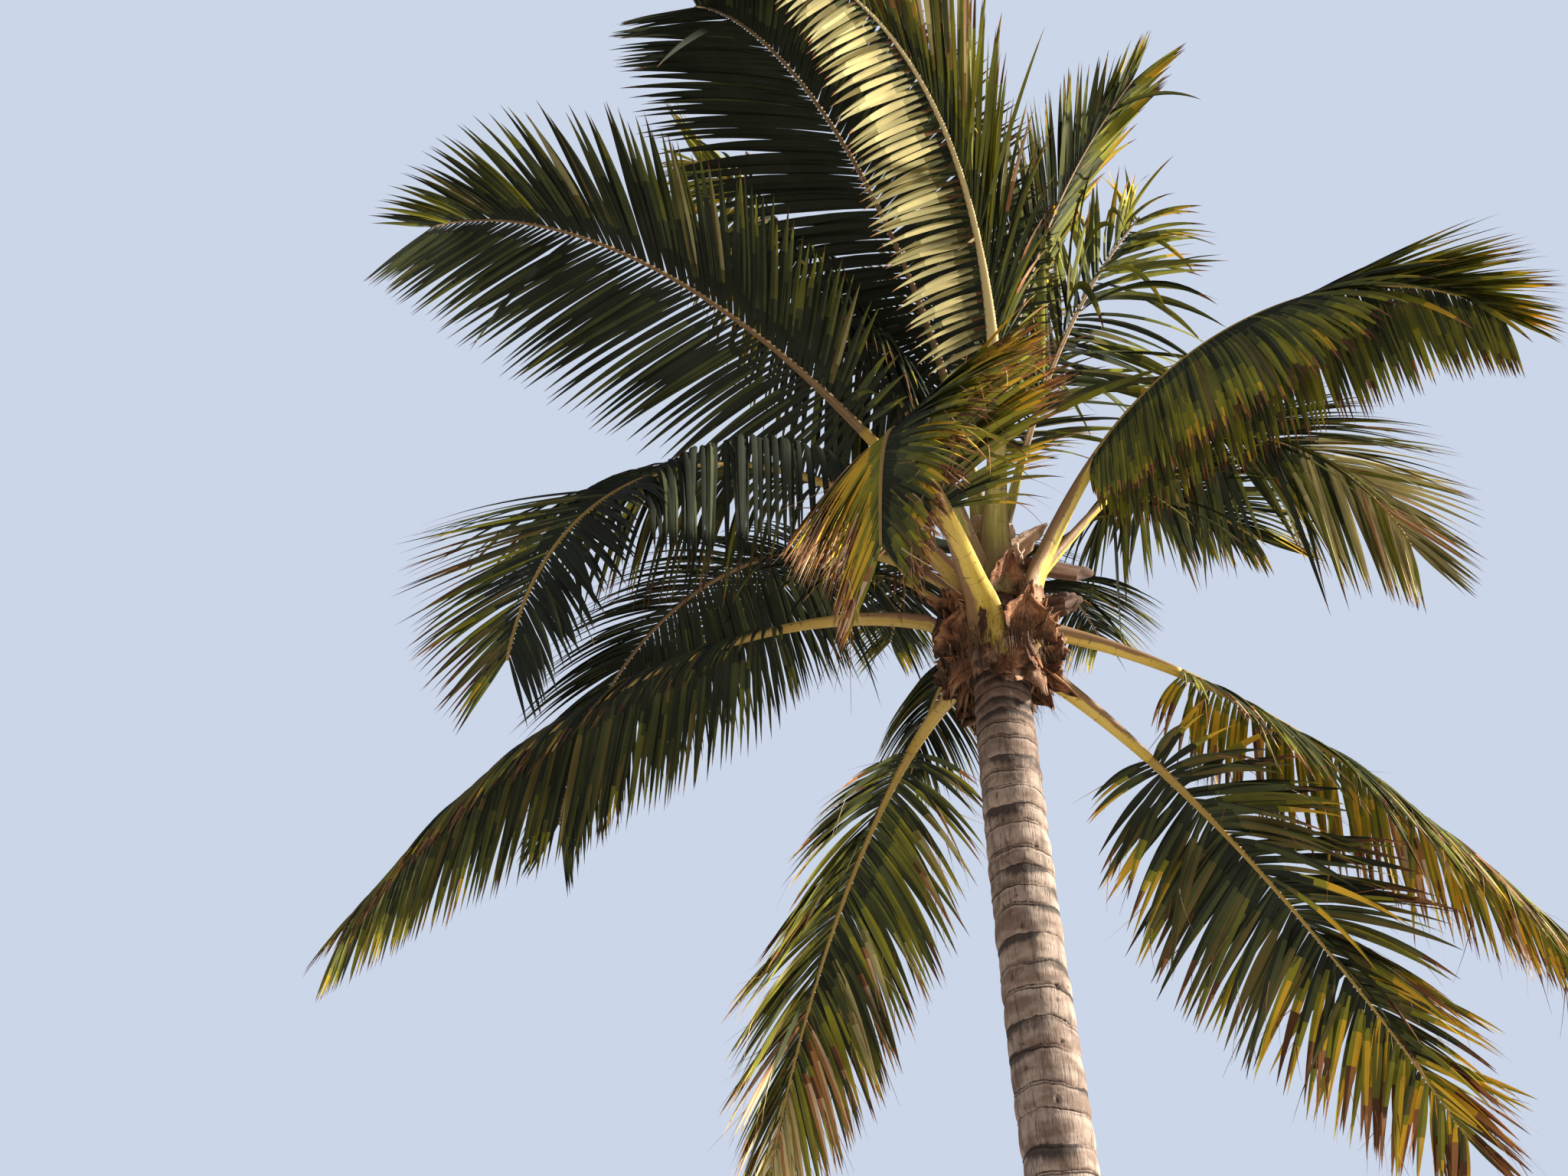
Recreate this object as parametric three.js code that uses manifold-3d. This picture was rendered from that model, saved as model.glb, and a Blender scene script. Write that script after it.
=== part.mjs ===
// A coconut palm, whole: a leaning ringed trunk, the fibrous heart on top of it, and its fronds.
// Millimetres, +Z up. The origin is in the middle of the flat cut under the trunk, at ground level.
import * as THREE from "three";
import { mergeVertices } from "three/addons/utils/BufferGeometryUtils.js";
import Module from "manifold-3d";

// Trunk
const TRUNK_HEIGHT = 7580; // ground to the heart
const TRUNK_LEAN = { x: -550, y: -50 }; // how far the top stands off the foot
const LEAN_POWER = 1.85; // the lean is in the lower trunk, and the top stands upright
const TRUNK_RADIUS_TOP = 137;
const TRUNK_RADIUS_CHEST = 178; // where the root flare has ended
const TAPER_POWER = 1.3;
const FLARE = { width: 100, height: 330, lobes: 5, lobeDepth: 16 };
const SCARS = { count: 31, depth: 6, uneven: 0.3 }; // leaf scars round the trunk, and how unevenly they lie
const TRUNK_SIDES = 16;

// Heart: the fibre-wrapped leaf bases
const HEART_PROFILE = [
  { level: 0, radius: 142 },
  { level: 70, radius: 190 },
  { level: 170, radius: 262 },
  { level: 300, radius: 272 },
  { level: 440, radius: 242 },
  { level: 590, radius: 205 },
  { level: 760, radius: 165 },
  { level: 920, radius: 128 },
  { level: 1040, radius: 92 },
  { level: 1120, radius: 40 },
];
const HEART_SIDES = 18;
const HEART_FOLDS = { count: 5, depth: 0.07, twist: 0.0035 }; // folds round it, turning with height
const SEAT_GAP = 0.3; // between pieces that touch
const FLAPS = { count: 15, level: 205, spread: 110, length: 210, width: 190, rise: -28, bend: -40 };
const BRACTS = { count: 9, level: 900, spread: 0, length: 250, width: 100, rise: 66, bend: -24 };
const FLAP_THICKNESS = 12; // at half its length
const FLAP_STEPS = 4;
const FLAP_DEPTH = 55; // how deep in the heart a flap starts

// Fronds: shared sizes
const PETIOLE_SHARE = 0.24; // of a frond's length has no leaflets
const PETIOLE_STEPS = 5;
const RIB_DEPTH = 60; // how deep in the heart a rib starts
const CURVE_STEPS = 6; // small steps along the curve between two stations
const LEAFLET_PAIRS = 20;
const RIB = { baseWidth: 150, baseHeight: 84, neckWidth: 84, neckHeight: 52, tipWidth: 10, tipHeight: 12 };
const RIB_NECK_AT = 0.07; // share of the length where the broad base has narrowed
const FROND_LENGTH = 3800; // of a frond whose leaflets have their full length
const LEAFLET_LENGTH = 960; // the longest, a third of the way along the blade
const LEAFLET_WIDEST = 108;
const LEAFLET_FILL = 0.8; // of the room between neighbours that a leaflet takes
const LEAFLET_THICKNESS = 11;
const LEAFLET_SLENDER = 90; // a leaflet is no thinner than its length over this
const LEAFLET_SWELL = { least: 0.12, from: 0.22, by: 0.69, power: 0.9 }; // short, long and short again
const LEAFLET_UNEVEN = { angle: 5, length: 0.12 };
const LEAFLET_FALL = { first: 0.5, second: 0.85 }; // how much of the hang each half of a leaflet has
const LEAFLET_ANGLE = { base: 72, tip: 28, power: 1.5 }; // degrees from the rib
const LEAST_ANGLE = 20; // degrees that a falling leaflet keeps from the rib
const ROLL_BY = 0.3; // share of the length where a frond has turned over by its roll
const SPLIT_DROOP = 50; // a frond that bends more is two nodes
const CLEARANCE = 4; // a leaflet that would come nearer to another piece is left off

// Fronds: az 0 is +X and 90 is +Y, level is above the trunk's top, and a rise falls by droop along the
// length as share ** bend. swing turns it sideways, hang lets its leaflets fall (tipHang those at its tip),
// roll turns its blade over, the lifts fold its left and right halves up, spread opens its leaflets, and
// girth is how stout its stalk is.
const USUAL = { swing: 0, roll: 0, liftLeft: 16, liftRight: 16, spread: 1, girth: 1, hang: 0.4 };
const FRONDS = [
  { name: "left_high", az: 217, level: 790, rise: 37, droop: 92, bend: 1.7, length: 3780,
    hang: 0.4, liftRight: -14, girth: 0.75 },
  { name: "left_arch", az: 214, level: 500, rise: 62, droop: 158, bend: 0.62, length: 4050,
    hang: 0.9, roll: 15, girth: 0.9 },
  { name: "left_low", az: 167, level: 400, rise: 38, droop: 103, bend: 0.6, swing: 4, length: 4050,
    hang: 2.4 },
  { name: "left_back", az: 154, level: 630, rise: 50, droop: 136, bend: 1.4, swing: -30, length: 3950,
    hang: 1.2, girth: 0.9 },
  { name: "back_left_low", az: 110, level: 250, rise: 32, droop: 95, bend: 0.6, swing: 3, length: 3850,
    hang: 0.9, liftLeft: -14, spread: 0.9 },
  { name: "back_low", az: 97, level: 400, rise: 40, droop: 50, bend: 1.2, length: 2500,
    hang: 2.2, girth: 0.9 },
  { name: "right_lowest", az: 39, level: 260, rise: -2, droop: 44, bend: 0.6, length: 3700,
    hang: 0.8, liftLeft: -6, spread: 1.12 },
  { name: "right_low", az: 18, level: 430, rise: 9, droop: 54, bend: 0.6, swing: 4, length: 3550,
    hang: 1.5, liftRight: -25 },
  { name: "right_high", az: 330, level: 500, rise: 63, droop: 148, bend: 1.85, swing: 15, length: 3850,
    hang: 2.8, tipHang: 0.1, girth: 0.9 },
  { name: "right_arch", az: 6, level: 610, rise: 56, droop: 140, bend: 2.5, swing: 30, length: 3800,
    hang: 2.2, girth: 0.85 },
  { name: "right_back", az: 45, level: 670, rise: 54, droop: 134, bend: 2.8, swing: -16, length: 3750,
    hang: 0.4, girth: 0.8 },
  { name: "back_right", az: 66, level: 450, rise: 58, droop: 58, bend: 1.5, length: 2900,
    hang: 1.3, girth: 0.9 },
  { name: "back_middle", az: 97, level: 640, rise: 64, droop: 70, bend: 1.3, length: 3700,
    hang: 0.6, girth: 0.8 },
  { name: "back_left", az: 126, level: 480, rise: 58, droop: 75, bend: 1.3, length: 3700,
    hang: 0.8, girth: 0.9 },
  { name: "front_low", az: 251, level: 330, rise: 0, droop: 85, bend: 1.35, swing: 11, length: 3750,
    hang: 0.7, roll: 22 },
  { name: "top_bright", az: 274, level: 850, rise: 42, droop: 87, bend: 1.15, swing: -45, length: 4100,
    liftLeft: 78, spread: 0.9, girth: 0.7 },
  { name: "top_dark", az: 243, level: 960, rise: 68, droop: 126, bend: 1.65, swing: -9, length: 3900,
    girth: 0.6 },
  { name: "top_left", az: 188, level: 850, rise: 75, droop: 34, bend: 1.5, swing: 5, length: 3500,
    hang: 1.4, girth: 0.6 },
  { name: "top_young", az: 334, level: 1020, rise: 84, droop: 42, bend: 1.75, swing: -8, length: 3550,
    hang: 0, spread: 0.45, girth: 0.5 },
  { name: "top_back", az: 110, level: 960, rise: 84, droop: 10, bend: 1.5, swing: -20, length: 3200,
    hang: 0.1, spread: 0.8, girth: 0.55 },
  { name: "top_right", az: 20, level: 940, rise: 76, droop: 18, bend: 1.5, swing: -8, length: 3450,
    roll: 60, girth: 0.6 },
].map((frond) => ({ ...USUAL, tipHang: frond.hang ?? USUAL.hang, ...frond }));

// Cut remains of old growth, each a blunt tapering stub
const STUBS = [
  { name: "cut_petiole", az: 236, level: 610, rise: 48, length: 620, width: 100, endWidth: 80, height: 60 },
  { name: "cut_stalk", az: 22, level: 840, rise: 8, length: 560, width: 70, endWidth: 56, height: 44 },
  { name: "dry_base", az: 350, level: 470, rise: 6, length: 420, width: 120, endWidth: 44, height: 30 },
];
const STUB_SIDES = 10;
const STUB_DEPTH = 90; // how deep in the heart a stub starts
const STUB_STATIONS = [
  { share: 0, part: 1 },
  { share: 0.9, part: 1 },
  { share: 0.98, part: 0.82 },
  { share: 1, part: 0.5 },
];

const MATERIALS = {
  bark: new THREE.MeshStandardMaterial({ color: 0xb09a80, roughness: 0.9, metalness: 0 }),
  fibre: new THREE.MeshStandardMaterial({ color: 0x8a6648, roughness: 0.95, metalness: 0 }),
  blade: new THREE.MeshStandardMaterial({ color: 0x5b6a2c, roughness: 0.5, metalness: 0 }),
  stalk: new THREE.MeshStandardMaterial({ color: 0xc2b155, roughness: 0.55, metalness: 0 }),
  wood: new THREE.MeshStandardMaterial({ color: 0x7d5a45, roughness: 0.85, metalness: 0 }),
};

const wasm = await Module();
wasm.setup();

const radians = THREE.MathUtils.degToRad;
const lerp = THREE.MathUtils.lerp;
const clamp = THREE.MathUtils.clamp;

// An even spread of numbers from 0 to 1 that is the same on every run.
function dealt(seed) {
  const wave = Math.sin(seed * 12.9898 + 4.1414) * 43758.5453;
  return wave - Math.floor(wave);
}

// A direction from its angle round the trunk and its slope above the level.
function heading(angle, slope) {
  return new THREE.Vector3(
    Math.cos(slope) * Math.cos(angle),
    Math.cos(slope) * Math.sin(angle),
    Math.sin(slope),
  );
}

// The level direction a quarter turn on from an angle round the trunk.
function sideways(angle) {
  return new THREE.Vector3(-Math.sin(angle), Math.cos(angle), 0);
}

// Collects the corners and faces of one closed surface.
class Skin {
  constructor() {
    this.corners = [];
    this.faces = [];
  }

  corner(point) {
    this.corners.push(point.x, point.y, point.z);
    return this.corners.length / 3 - 1;
  }

  // Faces go round anticlockwise, seen from outside.
  quad(a, b, c, d) {
    this.faces.push(a, b, c, a, c, d);
  }

  triangle(a, b, c) {
    this.faces.push(a, b, c);
  }

  solid() {
    return new wasm.Manifold(
      new wasm.Mesh({
        numProp: 3,
        vertProperties: new Float32Array(this.corners),
        triVerts: new Uint32Array(this.faces),
      }),
    );
  }
}

// A surface through level or tilted rings of equal size, closed by a flat fan at each end.
function ringedSolid(rings) {
  const skin = new Skin();
  const loops = rings.map((ring) => ring.map((point) => skin.corner(point)));
  const sides = loops[0].length;
  for (let i = 0; i + 1 < loops.length; i++)
    for (let j = 0; j < sides; j++) {
      const k = (j + 1) % sides;
      skin.quad(loops[i][j], loops[i][k], loops[i + 1][k], loops[i + 1][j]);
    }
  const centre = (ring) => ring.reduce((sum, p) => sum.add(p), new THREE.Vector3()).divideScalar(sides);
  const foot = skin.corner(centre(rings[0]));
  const top = skin.corner(centre(rings[rings.length - 1]));
  for (let j = 0; j < sides; j++) {
    const k = (j + 1) % sides;
    skin.triangle(foot, loops[0][k], loops[0][j]);
    skin.triangle(top, loops[loops.length - 1][j], loops[loops.length - 1][k]);
  }
  return skin.solid();
}

// A solid as a named mesh.
function meshOf(name, solid, material) {
  const made = solid.getMesh();
  const geometry = new THREE.BufferGeometry()
    .setAttribute("position", new THREE.BufferAttribute(made.vertProperties, 3))
    .setIndex(new THREE.BufferAttribute(made.triVerts, 1));
  const mesh = new THREE.Mesh(mergeVertices(geometry), material);
  mesh.name = name;
  return mesh;
}

// Where the trunk's axis stands at a height.
function trunkAxis(z) {
  const share = 1 - (1 - clamp(z / TRUNK_HEIGHT, 0, 1)) ** LEAN_POWER;
  return new THREE.Vector3(TRUNK_LEAN.x * share, TRUNK_LEAN.y * share, z);
}

// The trunk tapers, widens to a lobed foot, and has a shallow groove under each leaf scar.
function trunkRadius(z, angle, inGroove) {
  const share = z / TRUNK_HEIGHT;
  const taper = lerp(TRUNK_RADIUS_CHEST, TRUNK_RADIUS_TOP, share ** TAPER_POWER);
  const flare = Math.exp(-z / FLARE.height);
  const lobes = FLARE.lobeDepth * flare * Math.sin(FLARE.lobes * angle);
  return taper + FLARE.width * flare + lobes - (inGroove ? SCARS.depth : 0);
}

function trunkSolid() {
  const rings = [];
  const pitch = TRUNK_HEIGHT / SCARS.count;
  const ringAt = (z, inGroove) =>
    Array.from({ length: TRUNK_SIDES }, (_, j) => {
      const angle = (j / TRUNK_SIDES) * 2 * Math.PI;
      return trunkAxis(z).addScaledVector(heading(angle, 0), trunkRadius(z, angle, inGroove));
    });
  rings.push(ringAt(0, false));
  for (let i = 0; i < SCARS.count; i++) {
    const shift = (dealt(i) - 0.5) * SCARS.uneven;
    rings.push(ringAt((i + 0.45 + shift) * pitch, true));
    rings.push(ringAt((i + 0.8 + shift) * pitch, false));
  }
  rings.push(ringAt(TRUNK_HEIGHT, false));
  return ringedSolid(rings);
}

// The heart's radius at a level, from its profile.
function heartRadius(level) {
  const next = HEART_PROFILE.findIndex((station) => station.level >= level);
  if (next <= 0) return HEART_PROFILE[Math.max(next, 0)].radius;
  const [low, high] = [HEART_PROFILE[next - 1], HEART_PROFILE[next]];
  return lerp(low.radius, high.radius, (level - low.level) / (high.level - low.level));
}

const CROWN = trunkAxis(TRUNK_HEIGHT);

// A point beside the heart's axis, at a level above the trunk's top.
function besideHeart(angle, level, radius) {
  return heading(angle, 0).multiplyScalar(radius).add(CROWN).add(new THREE.Vector3(0, 0, level));
}

// The folded body of the heart. grow makes it larger all over, to cut seats with.
function heartBody(grow) {
  const lowest = SEAT_GAP - grow;
  const rings = HEART_PROFILE.map((station, i) => {
    const isTop = i === HEART_PROFILE.length - 1;
    const level = i === 0 ? lowest : station.level + (isTop ? grow : 0);
    return Array.from({ length: HEART_SIDES }, (_, j) => {
      const angle = (j / HEART_SIDES) * 2 * Math.PI;
      const fold = Math.sin(HEART_FOLDS.count * (angle + HEART_FOLDS.twist * station.level));
      return besideHeart(angle, level, station.radius * (1 + HEART_FOLDS.depth * fold) + grow * 2);
    });
  });
  return ringedSolid(rings);
}

// A thin pointed flap that starts in the heart and bends as it goes, like torn sheath.
function flapSolid({ angle, level, length, width, rise, bend, size }, extra) {
  const side = sideways(angle);
  const rings = [];
  const point = besideHeart(angle, level, heartRadius(level) - FLAP_DEPTH);
  for (let i = 0; i <= FLAP_STEPS; i++) {
    const share = i / FLAP_STEPS;
    const along = heading(angle, radians(rise + bend * share));
    const up = along.clone().cross(side);
    const half = (width / 2) * size * (1 - 0.92 * share ** 1.6) + extra;
    const thick = (FLAP_THICKNESS / 2) * (1.6 - share) + extra;
    rings.push(
      [
        [half, -thick],
        [half, thick],
        [-half, thick],
        [-half, -thick],
      ].map(([s, u]) => point.clone().addScaledVector(side, s).addScaledVector(up, u)),
    );
    point.addScaledVector(along, (length * size) / FLAP_STEPS);
  }
  return ringedSolid(rings);
}

// Torn sheaths that hang round the heart, and upright ones between its youngest stalks.
function sheathFlaps() {
  const hanging = Array.from({ length: FLAPS.count }, (_, i) => ({
    ...FLAPS,
    angle: ((i + 0.5 * dealt(i + 20)) / FLAPS.count) * 2 * Math.PI,
    level: FLAPS.level + FLAPS.spread * (dealt(i + 40) - 0.5),
    size: 0.75 + 0.5 * dealt(i + 60),
  }));
  const upright = Array.from({ length: BRACTS.count }, (_, i) => ({
    ...BRACTS,
    angle: ((i + 0.3 * dealt(i + 80)) / BRACTS.count) * 2 * Math.PI,
    size: 1,
  }));
  return [...hanging, ...upright];
}

// The frame of a frond's rib at a share of its length: forward, to its side and up from its blade.
function ribFrame(frond, share) {
  const slope = radians(frond.rise - frond.droop * share ** frond.bend);
  const angle = radians(frond.az + frond.swing * share);
  const turn = radians(frond.roll * Math.min(1, share / ROLL_BY));
  const forward = heading(angle, slope);
  const side = sideways(angle).applyAxisAngle(forward, turn);
  return { forward, side, up: forward.clone().cross(side) };
}

// The rib's width and height: a broad base, a neck, and a fine tip.
function ribSize(girth, share) {
  const toNeck = clamp(share / RIB_NECK_AT, 0, 1);
  const toTip = clamp((share - RIB_NECK_AT) / (1 - RIB_NECK_AT), 0, 1) ** 0.8;
  const stout = lerp(girth, 1, toTip);
  const width = lerp(lerp(RIB.baseWidth, RIB.neckWidth, toNeck), RIB.tipWidth, toTip);
  const height = lerp(lerp(RIB.baseHeight, RIB.neckHeight, toNeck), RIB.tipHeight, toTip);
  return { width: width * stout, height: height * stout };
}

// The rib's stations, from inside the heart to the tip. Leaflets grow between those of the blade.
function ribStations(frond) {
  const shares = [];
  for (let i = 0; i < PETIOLE_STEPS; i++) shares.push((i / PETIOLE_STEPS) * PETIOLE_SHARE);
  for (let i = 0; i <= LEAFLET_PAIRS; i++) shares.push(lerp(PETIOLE_SHARE, 1, i / LEAFLET_PAIRS));
  const point = besideHeart(radians(frond.az), frond.level, heartRadius(frond.level) - RIB_DEPTH);
  const stations = [];
  shares.forEach((share, i) => {
    if (i > 0)
      for (let j = 0; j < CURVE_STEPS; j++) {
        const between = lerp(shares[i - 1], share, (j + 0.5) / CURVE_STEPS);
        const step = ((share - shares[i - 1]) / CURVE_STEPS) * frond.length;
        point.addScaledVector(ribFrame(frond, between).forward, step);
      }
    stations.push({ share, point: point.clone(), ...ribFrame(frond, share), ...ribSize(frond.girth, share) });
  });
  return stations;
}

// The four corners of the rib at a station: A is left and up, then B, C and D round it.
function ribCorners({ point, side, up, width, height }) {
  return [
    [1, 1],
    [-1, 1],
    [-1, -1],
    [1, -1],
  ].map(([s, u]) =>
    point
      .clone()
      .addScaledVector(side, (s * width) / 2)
      .addScaledVector(up, (u * height) / 2),
  );
}

// A leaflet on one side of the rib, between two stations: its middle section and its tip.
function leafletShape(frond, from, to, hand, seed, extra) {
  const blade = (from.share - PETIOLE_SHARE) / (1 - PETIOLE_SHARE);
  const open = lerp(LEAFLET_ANGLE.base, LEAFLET_ANGLE.tip, blade ** LEAFLET_ANGLE.power) * frond.spread;
  const angle = radians(open + LEAFLET_UNEVEN.angle * (dealt(seed) - 0.5));
  const lift = radians(hand > 0 ? frond.liftLeft : frond.liftRight);
  const swell = Math.sin(Math.PI * (LEAFLET_SWELL.from + LEAFLET_SWELL.by * blade ** LEAFLET_SWELL.power));
  const scale = (frond.length / FROND_LENGTH) * (1 + LEAFLET_UNEVEN.length * (dealt(seed + 0.5) - 0.5));
  const length = LEAFLET_LENGTH * lerp(LEAFLET_SWELL.least, 1, swell) * scale;
  const root = from.point.clone().lerp(to.point, 0.5).addScaledVector(from.side, (hand * from.width) / 2);
  const outward = from.side.clone().multiplyScalar(hand * Math.cos(lift));
  const out = outward.addScaledVector(from.up, Math.sin(lift));
  const aim = from.forward.clone().multiplyScalar(Math.cos(angle)).addScaledVector(out, Math.sin(angle));
  const hang = lerp(frond.hang, frond.tipHang, blade);
  const fallen = (part) => keptOffRib(aim.clone().add(new THREE.Vector3(0, 0, -hang * part)), from.forward);
  const first = fallen(LEAFLET_FALL.first);
  const middle = root.clone().addScaledVector(first, length / 2);
  const tip = middle.clone().addScaledVector(fallen(LEAFLET_FALL.second), length / 2 + 2 * extra);
  const across = from.forward.clone().addScaledVector(first, -from.forward.dot(first));
  const room = across.length() * from.point.distanceTo(to.point);
  across.normalize();
  const normal = across.clone().cross(first).multiplyScalar(hand);
  const half = Math.min(LEAFLET_WIDEST, room * LEAFLET_FILL) / 2 + extra;
  const thick = Math.max(LEAFLET_THICKNESS, length / LEAFLET_SLENDER) / 2 + extra;
  const corner = (w, n) =>
    middle.clone().addScaledVector(across, w * half).addScaledVector(normal, n * thick);
  return { section: [corner(-1, -hand), corner(-1, hand), corner(1, hand), corner(1, -hand)], tip };
}

// A direction turned away from the rib, where it lies too near to it either way.
function keptOffRib(direction, forward) {
  const along = direction.normalize().dot(forward);
  const most = Math.cos(radians(LEAST_ANGLE));
  if (Math.abs(along) <= most) return direction;
  const off = direction.clone().addScaledVector(forward, -along).normalize();
  return off.multiplyScalar(Math.sqrt(1 - most * most)).addScaledVector(forward, Math.sign(along) * most);
}

// Joins a leaflet to the four corners of its root.
function growLeaflet(skin, root, shape) {
  const section = shape.section.map((point) => skin.corner(point));
  const tip = skin.corner(shape.tip);
  for (let i = 0; i < 4; i++) {
    const j = (i + 1) % 4;
    skin.quad(root[i], root[j], section[j], section[i]);
    skin.triangle(section[i], section[j], tip);
  }
}

// The corners of the rib's side face between two stations, as a leaflet's root.
function rootOf(loops, i, hand) {
  const [a, b] = [loops[i], loops[i + 1]];
  return hand > 0 ? [a[3], a[0], b[0], b[3]] : [a[1], a[2], b[2], b[1]];
}

// A leaflet alone, a little enlarged, to test what it would touch.
function leafletTester(stations, i, hand, shape) {
  const skin = new Skin();
  const ends = [stations[i], stations[i + 1]];
  const loops = ends.map((station) => ribCorners(station).map((point) => skin.corner(point)));
  const root = rootOf(loops, 0, hand);
  skin.quad(root[3], root[2], root[1], root[0]);
  growLeaflet(skin, root, shape);
  return skin.solid();
}

// One length of a frond: its rib from one station to another, with the leaflets that have room.
function frondSolid(stations, first, last, leaflets) {
  const skin = new Skin();
  const loops = [];
  for (let i = first; i <= last; i++) loops.push(ribCorners(stations[i]).map((point) => skin.corner(point)));
  loops.forEach((a, i) => {
    if (i + 1 === loops.length) return;
    const b = loops[i + 1];
    skin.quad(a[0], a[1], b[1], b[0]);
    skin.quad(a[2], a[3], b[3], b[2]);
    for (const hand of [1, -1]) {
      const root = rootOf(loops, i, hand);
      const shape = leaflets.get(hand * (first + i + 1));
      if (shape) growLeaflet(skin, root, shape);
      else skin.quad(...root);
    }
  });
  const [start, end] = [loops[0], loops[loops.length - 1]];
  skin.quad(start[3], start[2], start[1], start[0]);
  skin.quad(end[2], end[3], end[0], end[1]);
  return skin.solid();
}

// Solids placed so far, with their boxes, so that a new one can be tested against those near it.
class Placed {
  constructor() {
    this.items = [];
  }

  add(solid, owner) {
    this.items.push({ solid, owner, box: solid.boundingBox() });
  }

  // Whether a solid shares room with any placed one that its owner hasn't been told to ignore.
  isTouchedBy(solid, ignore) {
    const box = solid.boundingBox();
    return this.items.some((item) => {
      if (ignore(item.owner)) return false;
      const apart = [0, 1, 2].some((k) => item.box.min[k] > box.max[k] || item.box.max[k] < box.min[k]);
      return !apart && solid.intersect(item.solid).volume() > 1;
    });
  }
}

// A blunt stub of old growth, from inside the heart to its cut end.
function stubSolid({ az, level, rise, length, width, endWidth, height }) {
  const angle = radians(az);
  const along = heading(angle, radians(rise));
  const side = sideways(angle);
  const up = along.clone().cross(side);
  const start = besideHeart(angle, level, heartRadius(level) - STUB_DEPTH);
  return ringedSolid(
    STUB_STATIONS.map(({ share, part }) =>
      Array.from({ length: STUB_SIDES }, (_, j) => {
        const turn = (j / STUB_SIDES) * 2 * Math.PI;
        const half = (lerp(width, endWidth, share) / 2) * part;
        return start
          .clone()
          .addScaledVector(along, share * length)
          .addScaledVector(side, Math.cos(turn) * half)
          .addScaledVector(up, (Math.sin(turn) * height * part) / 2);
      }),
    ),
  );
}

const palm = new THREE.Group();
palm.name = "coconut_palm";

const trunk = trunkSolid();
const heartSeat = heartBody(SEAT_GAP);
palm.add(meshOf("trunk", trunk, MATERIALS.bark));

const placed = new Placed();
placed.add(trunk, "trunk");

for (const stub of STUBS) {
  const solid = stubSolid(stub).subtract(heartSeat);
  placed.add(solid, stub.name);
  palm.add(meshOf(stub.name, solid, stub.name === "cut_petiole" ? MATERIALS.stalk : MATERIALS.wood));
}

// Every rib is placed before any flap or leaflet, so that these give way.
const plans = FRONDS.map((frond) => ({ frond, stations: ribStations(frond), leaflets: new Map() }));
for (const { frond, stations } of plans)
  placed.add(frondSolid(stations, 0, stations.length - 1, new Map()), frond.name);

let heart = heartBody(0);
for (const flap of sheathFlaps())
  if (!placed.isTouchedBy(flapSolid(flap, CLEARANCE), () => false)) heart = heart.add(flapSolid(flap, 0));
placed.add(heart, "heart");
palm.add(meshOf("heart", heart, MATERIALS.fibre));

for (let i = PETIOLE_STEPS; i < PETIOLE_STEPS + LEAFLET_PAIRS; i++)
  plans.forEach(({ frond, stations, leaflets }, number) => {
    for (const hand of [1, -1]) {
      const seed = number * 100 + i * 2 + hand;
      const tested = leafletShape(frond, stations[i], stations[i + 1], hand, seed, CLEARANCE);
      const tester = leafletTester(stations, i, hand, tested);
      if (placed.isTouchedBy(tester, (owner) => owner === frond.name)) continue;
      leaflets.set(hand * (i + 1), leafletShape(frond, stations[i], stations[i + 1], hand, seed, 0));
      placed.add(tester, frond.name + "_leaflet");
    }
  });

// A frond that bends round a gap is cut in two where half of its bend is behind.
for (const { frond, stations, leaflets } of plans) {
  const last = stations.length - 1;
  const splits = frond.droop > SPLIT_DROOP;
  const half = 0.5 ** (1 / frond.bend);
  const middle = stations.findIndex((station) => station.share >= half && station.share > PETIOLE_SHARE);
  const inner = frondSolid(stations, 0, splits ? middle : last, leaflets).subtract(heartSeat);
  palm.add(meshOf("frond_" + frond.name + (splits ? "_inner" : ""), inner, MATERIALS.blade));
  if (!splits) continue;
  const cut = stations[middle];
  const beyond = { ...cut, point: cut.point.clone().addScaledVector(cut.forward, SEAT_GAP) };
  const outer = frondSolid(stations.with(middle, beyond), middle, last, leaflets);
  palm.add(meshOf("frond_" + frond.name + "_outer", outer, MATERIALS.blade));
}

export default palm;
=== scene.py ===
"""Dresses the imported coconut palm: bark, a fibrous heart, leaf stalks and fine leaflets, in metres."""
import logging
import math
from dataclasses import dataclass, field
from enum import Enum
from typing import Callable, Iterable, Optional, TypeVar, Union

import bmesh
import bpy
import numpy as np
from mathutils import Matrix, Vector


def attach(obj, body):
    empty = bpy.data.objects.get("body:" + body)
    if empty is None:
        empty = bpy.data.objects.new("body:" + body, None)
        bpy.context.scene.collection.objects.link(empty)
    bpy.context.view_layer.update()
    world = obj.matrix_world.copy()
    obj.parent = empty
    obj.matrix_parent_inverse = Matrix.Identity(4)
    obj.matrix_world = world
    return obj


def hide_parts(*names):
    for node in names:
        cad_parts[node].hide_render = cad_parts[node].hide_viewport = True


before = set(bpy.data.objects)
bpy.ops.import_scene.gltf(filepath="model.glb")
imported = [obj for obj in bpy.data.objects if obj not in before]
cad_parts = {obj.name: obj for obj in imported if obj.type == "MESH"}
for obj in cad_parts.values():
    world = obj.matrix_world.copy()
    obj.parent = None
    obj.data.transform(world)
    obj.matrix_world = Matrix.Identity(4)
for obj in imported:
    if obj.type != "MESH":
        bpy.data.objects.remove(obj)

LOG = logging.getLogger("palm")
Array = np.ndarray
Triple = tuple[float, float, float]
Colour = Triple
Pair = tuple[float, float]
Grid = tuple[int, int]
Place = Callable[[Array, Array], Array]
Material = bpy.types.Material
Choice = TypeVar("Choice")
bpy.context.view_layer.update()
FROND_NODES = sorted(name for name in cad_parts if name.startswith("frond_"))
UP = np.array([0.0, 0.0, 1.0])
TURN = 2 * np.pi
HASH_PITCH, HASH_SHIFT, HASH_SCALE = 12.9898, 4.1414, 43758.5453


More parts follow.
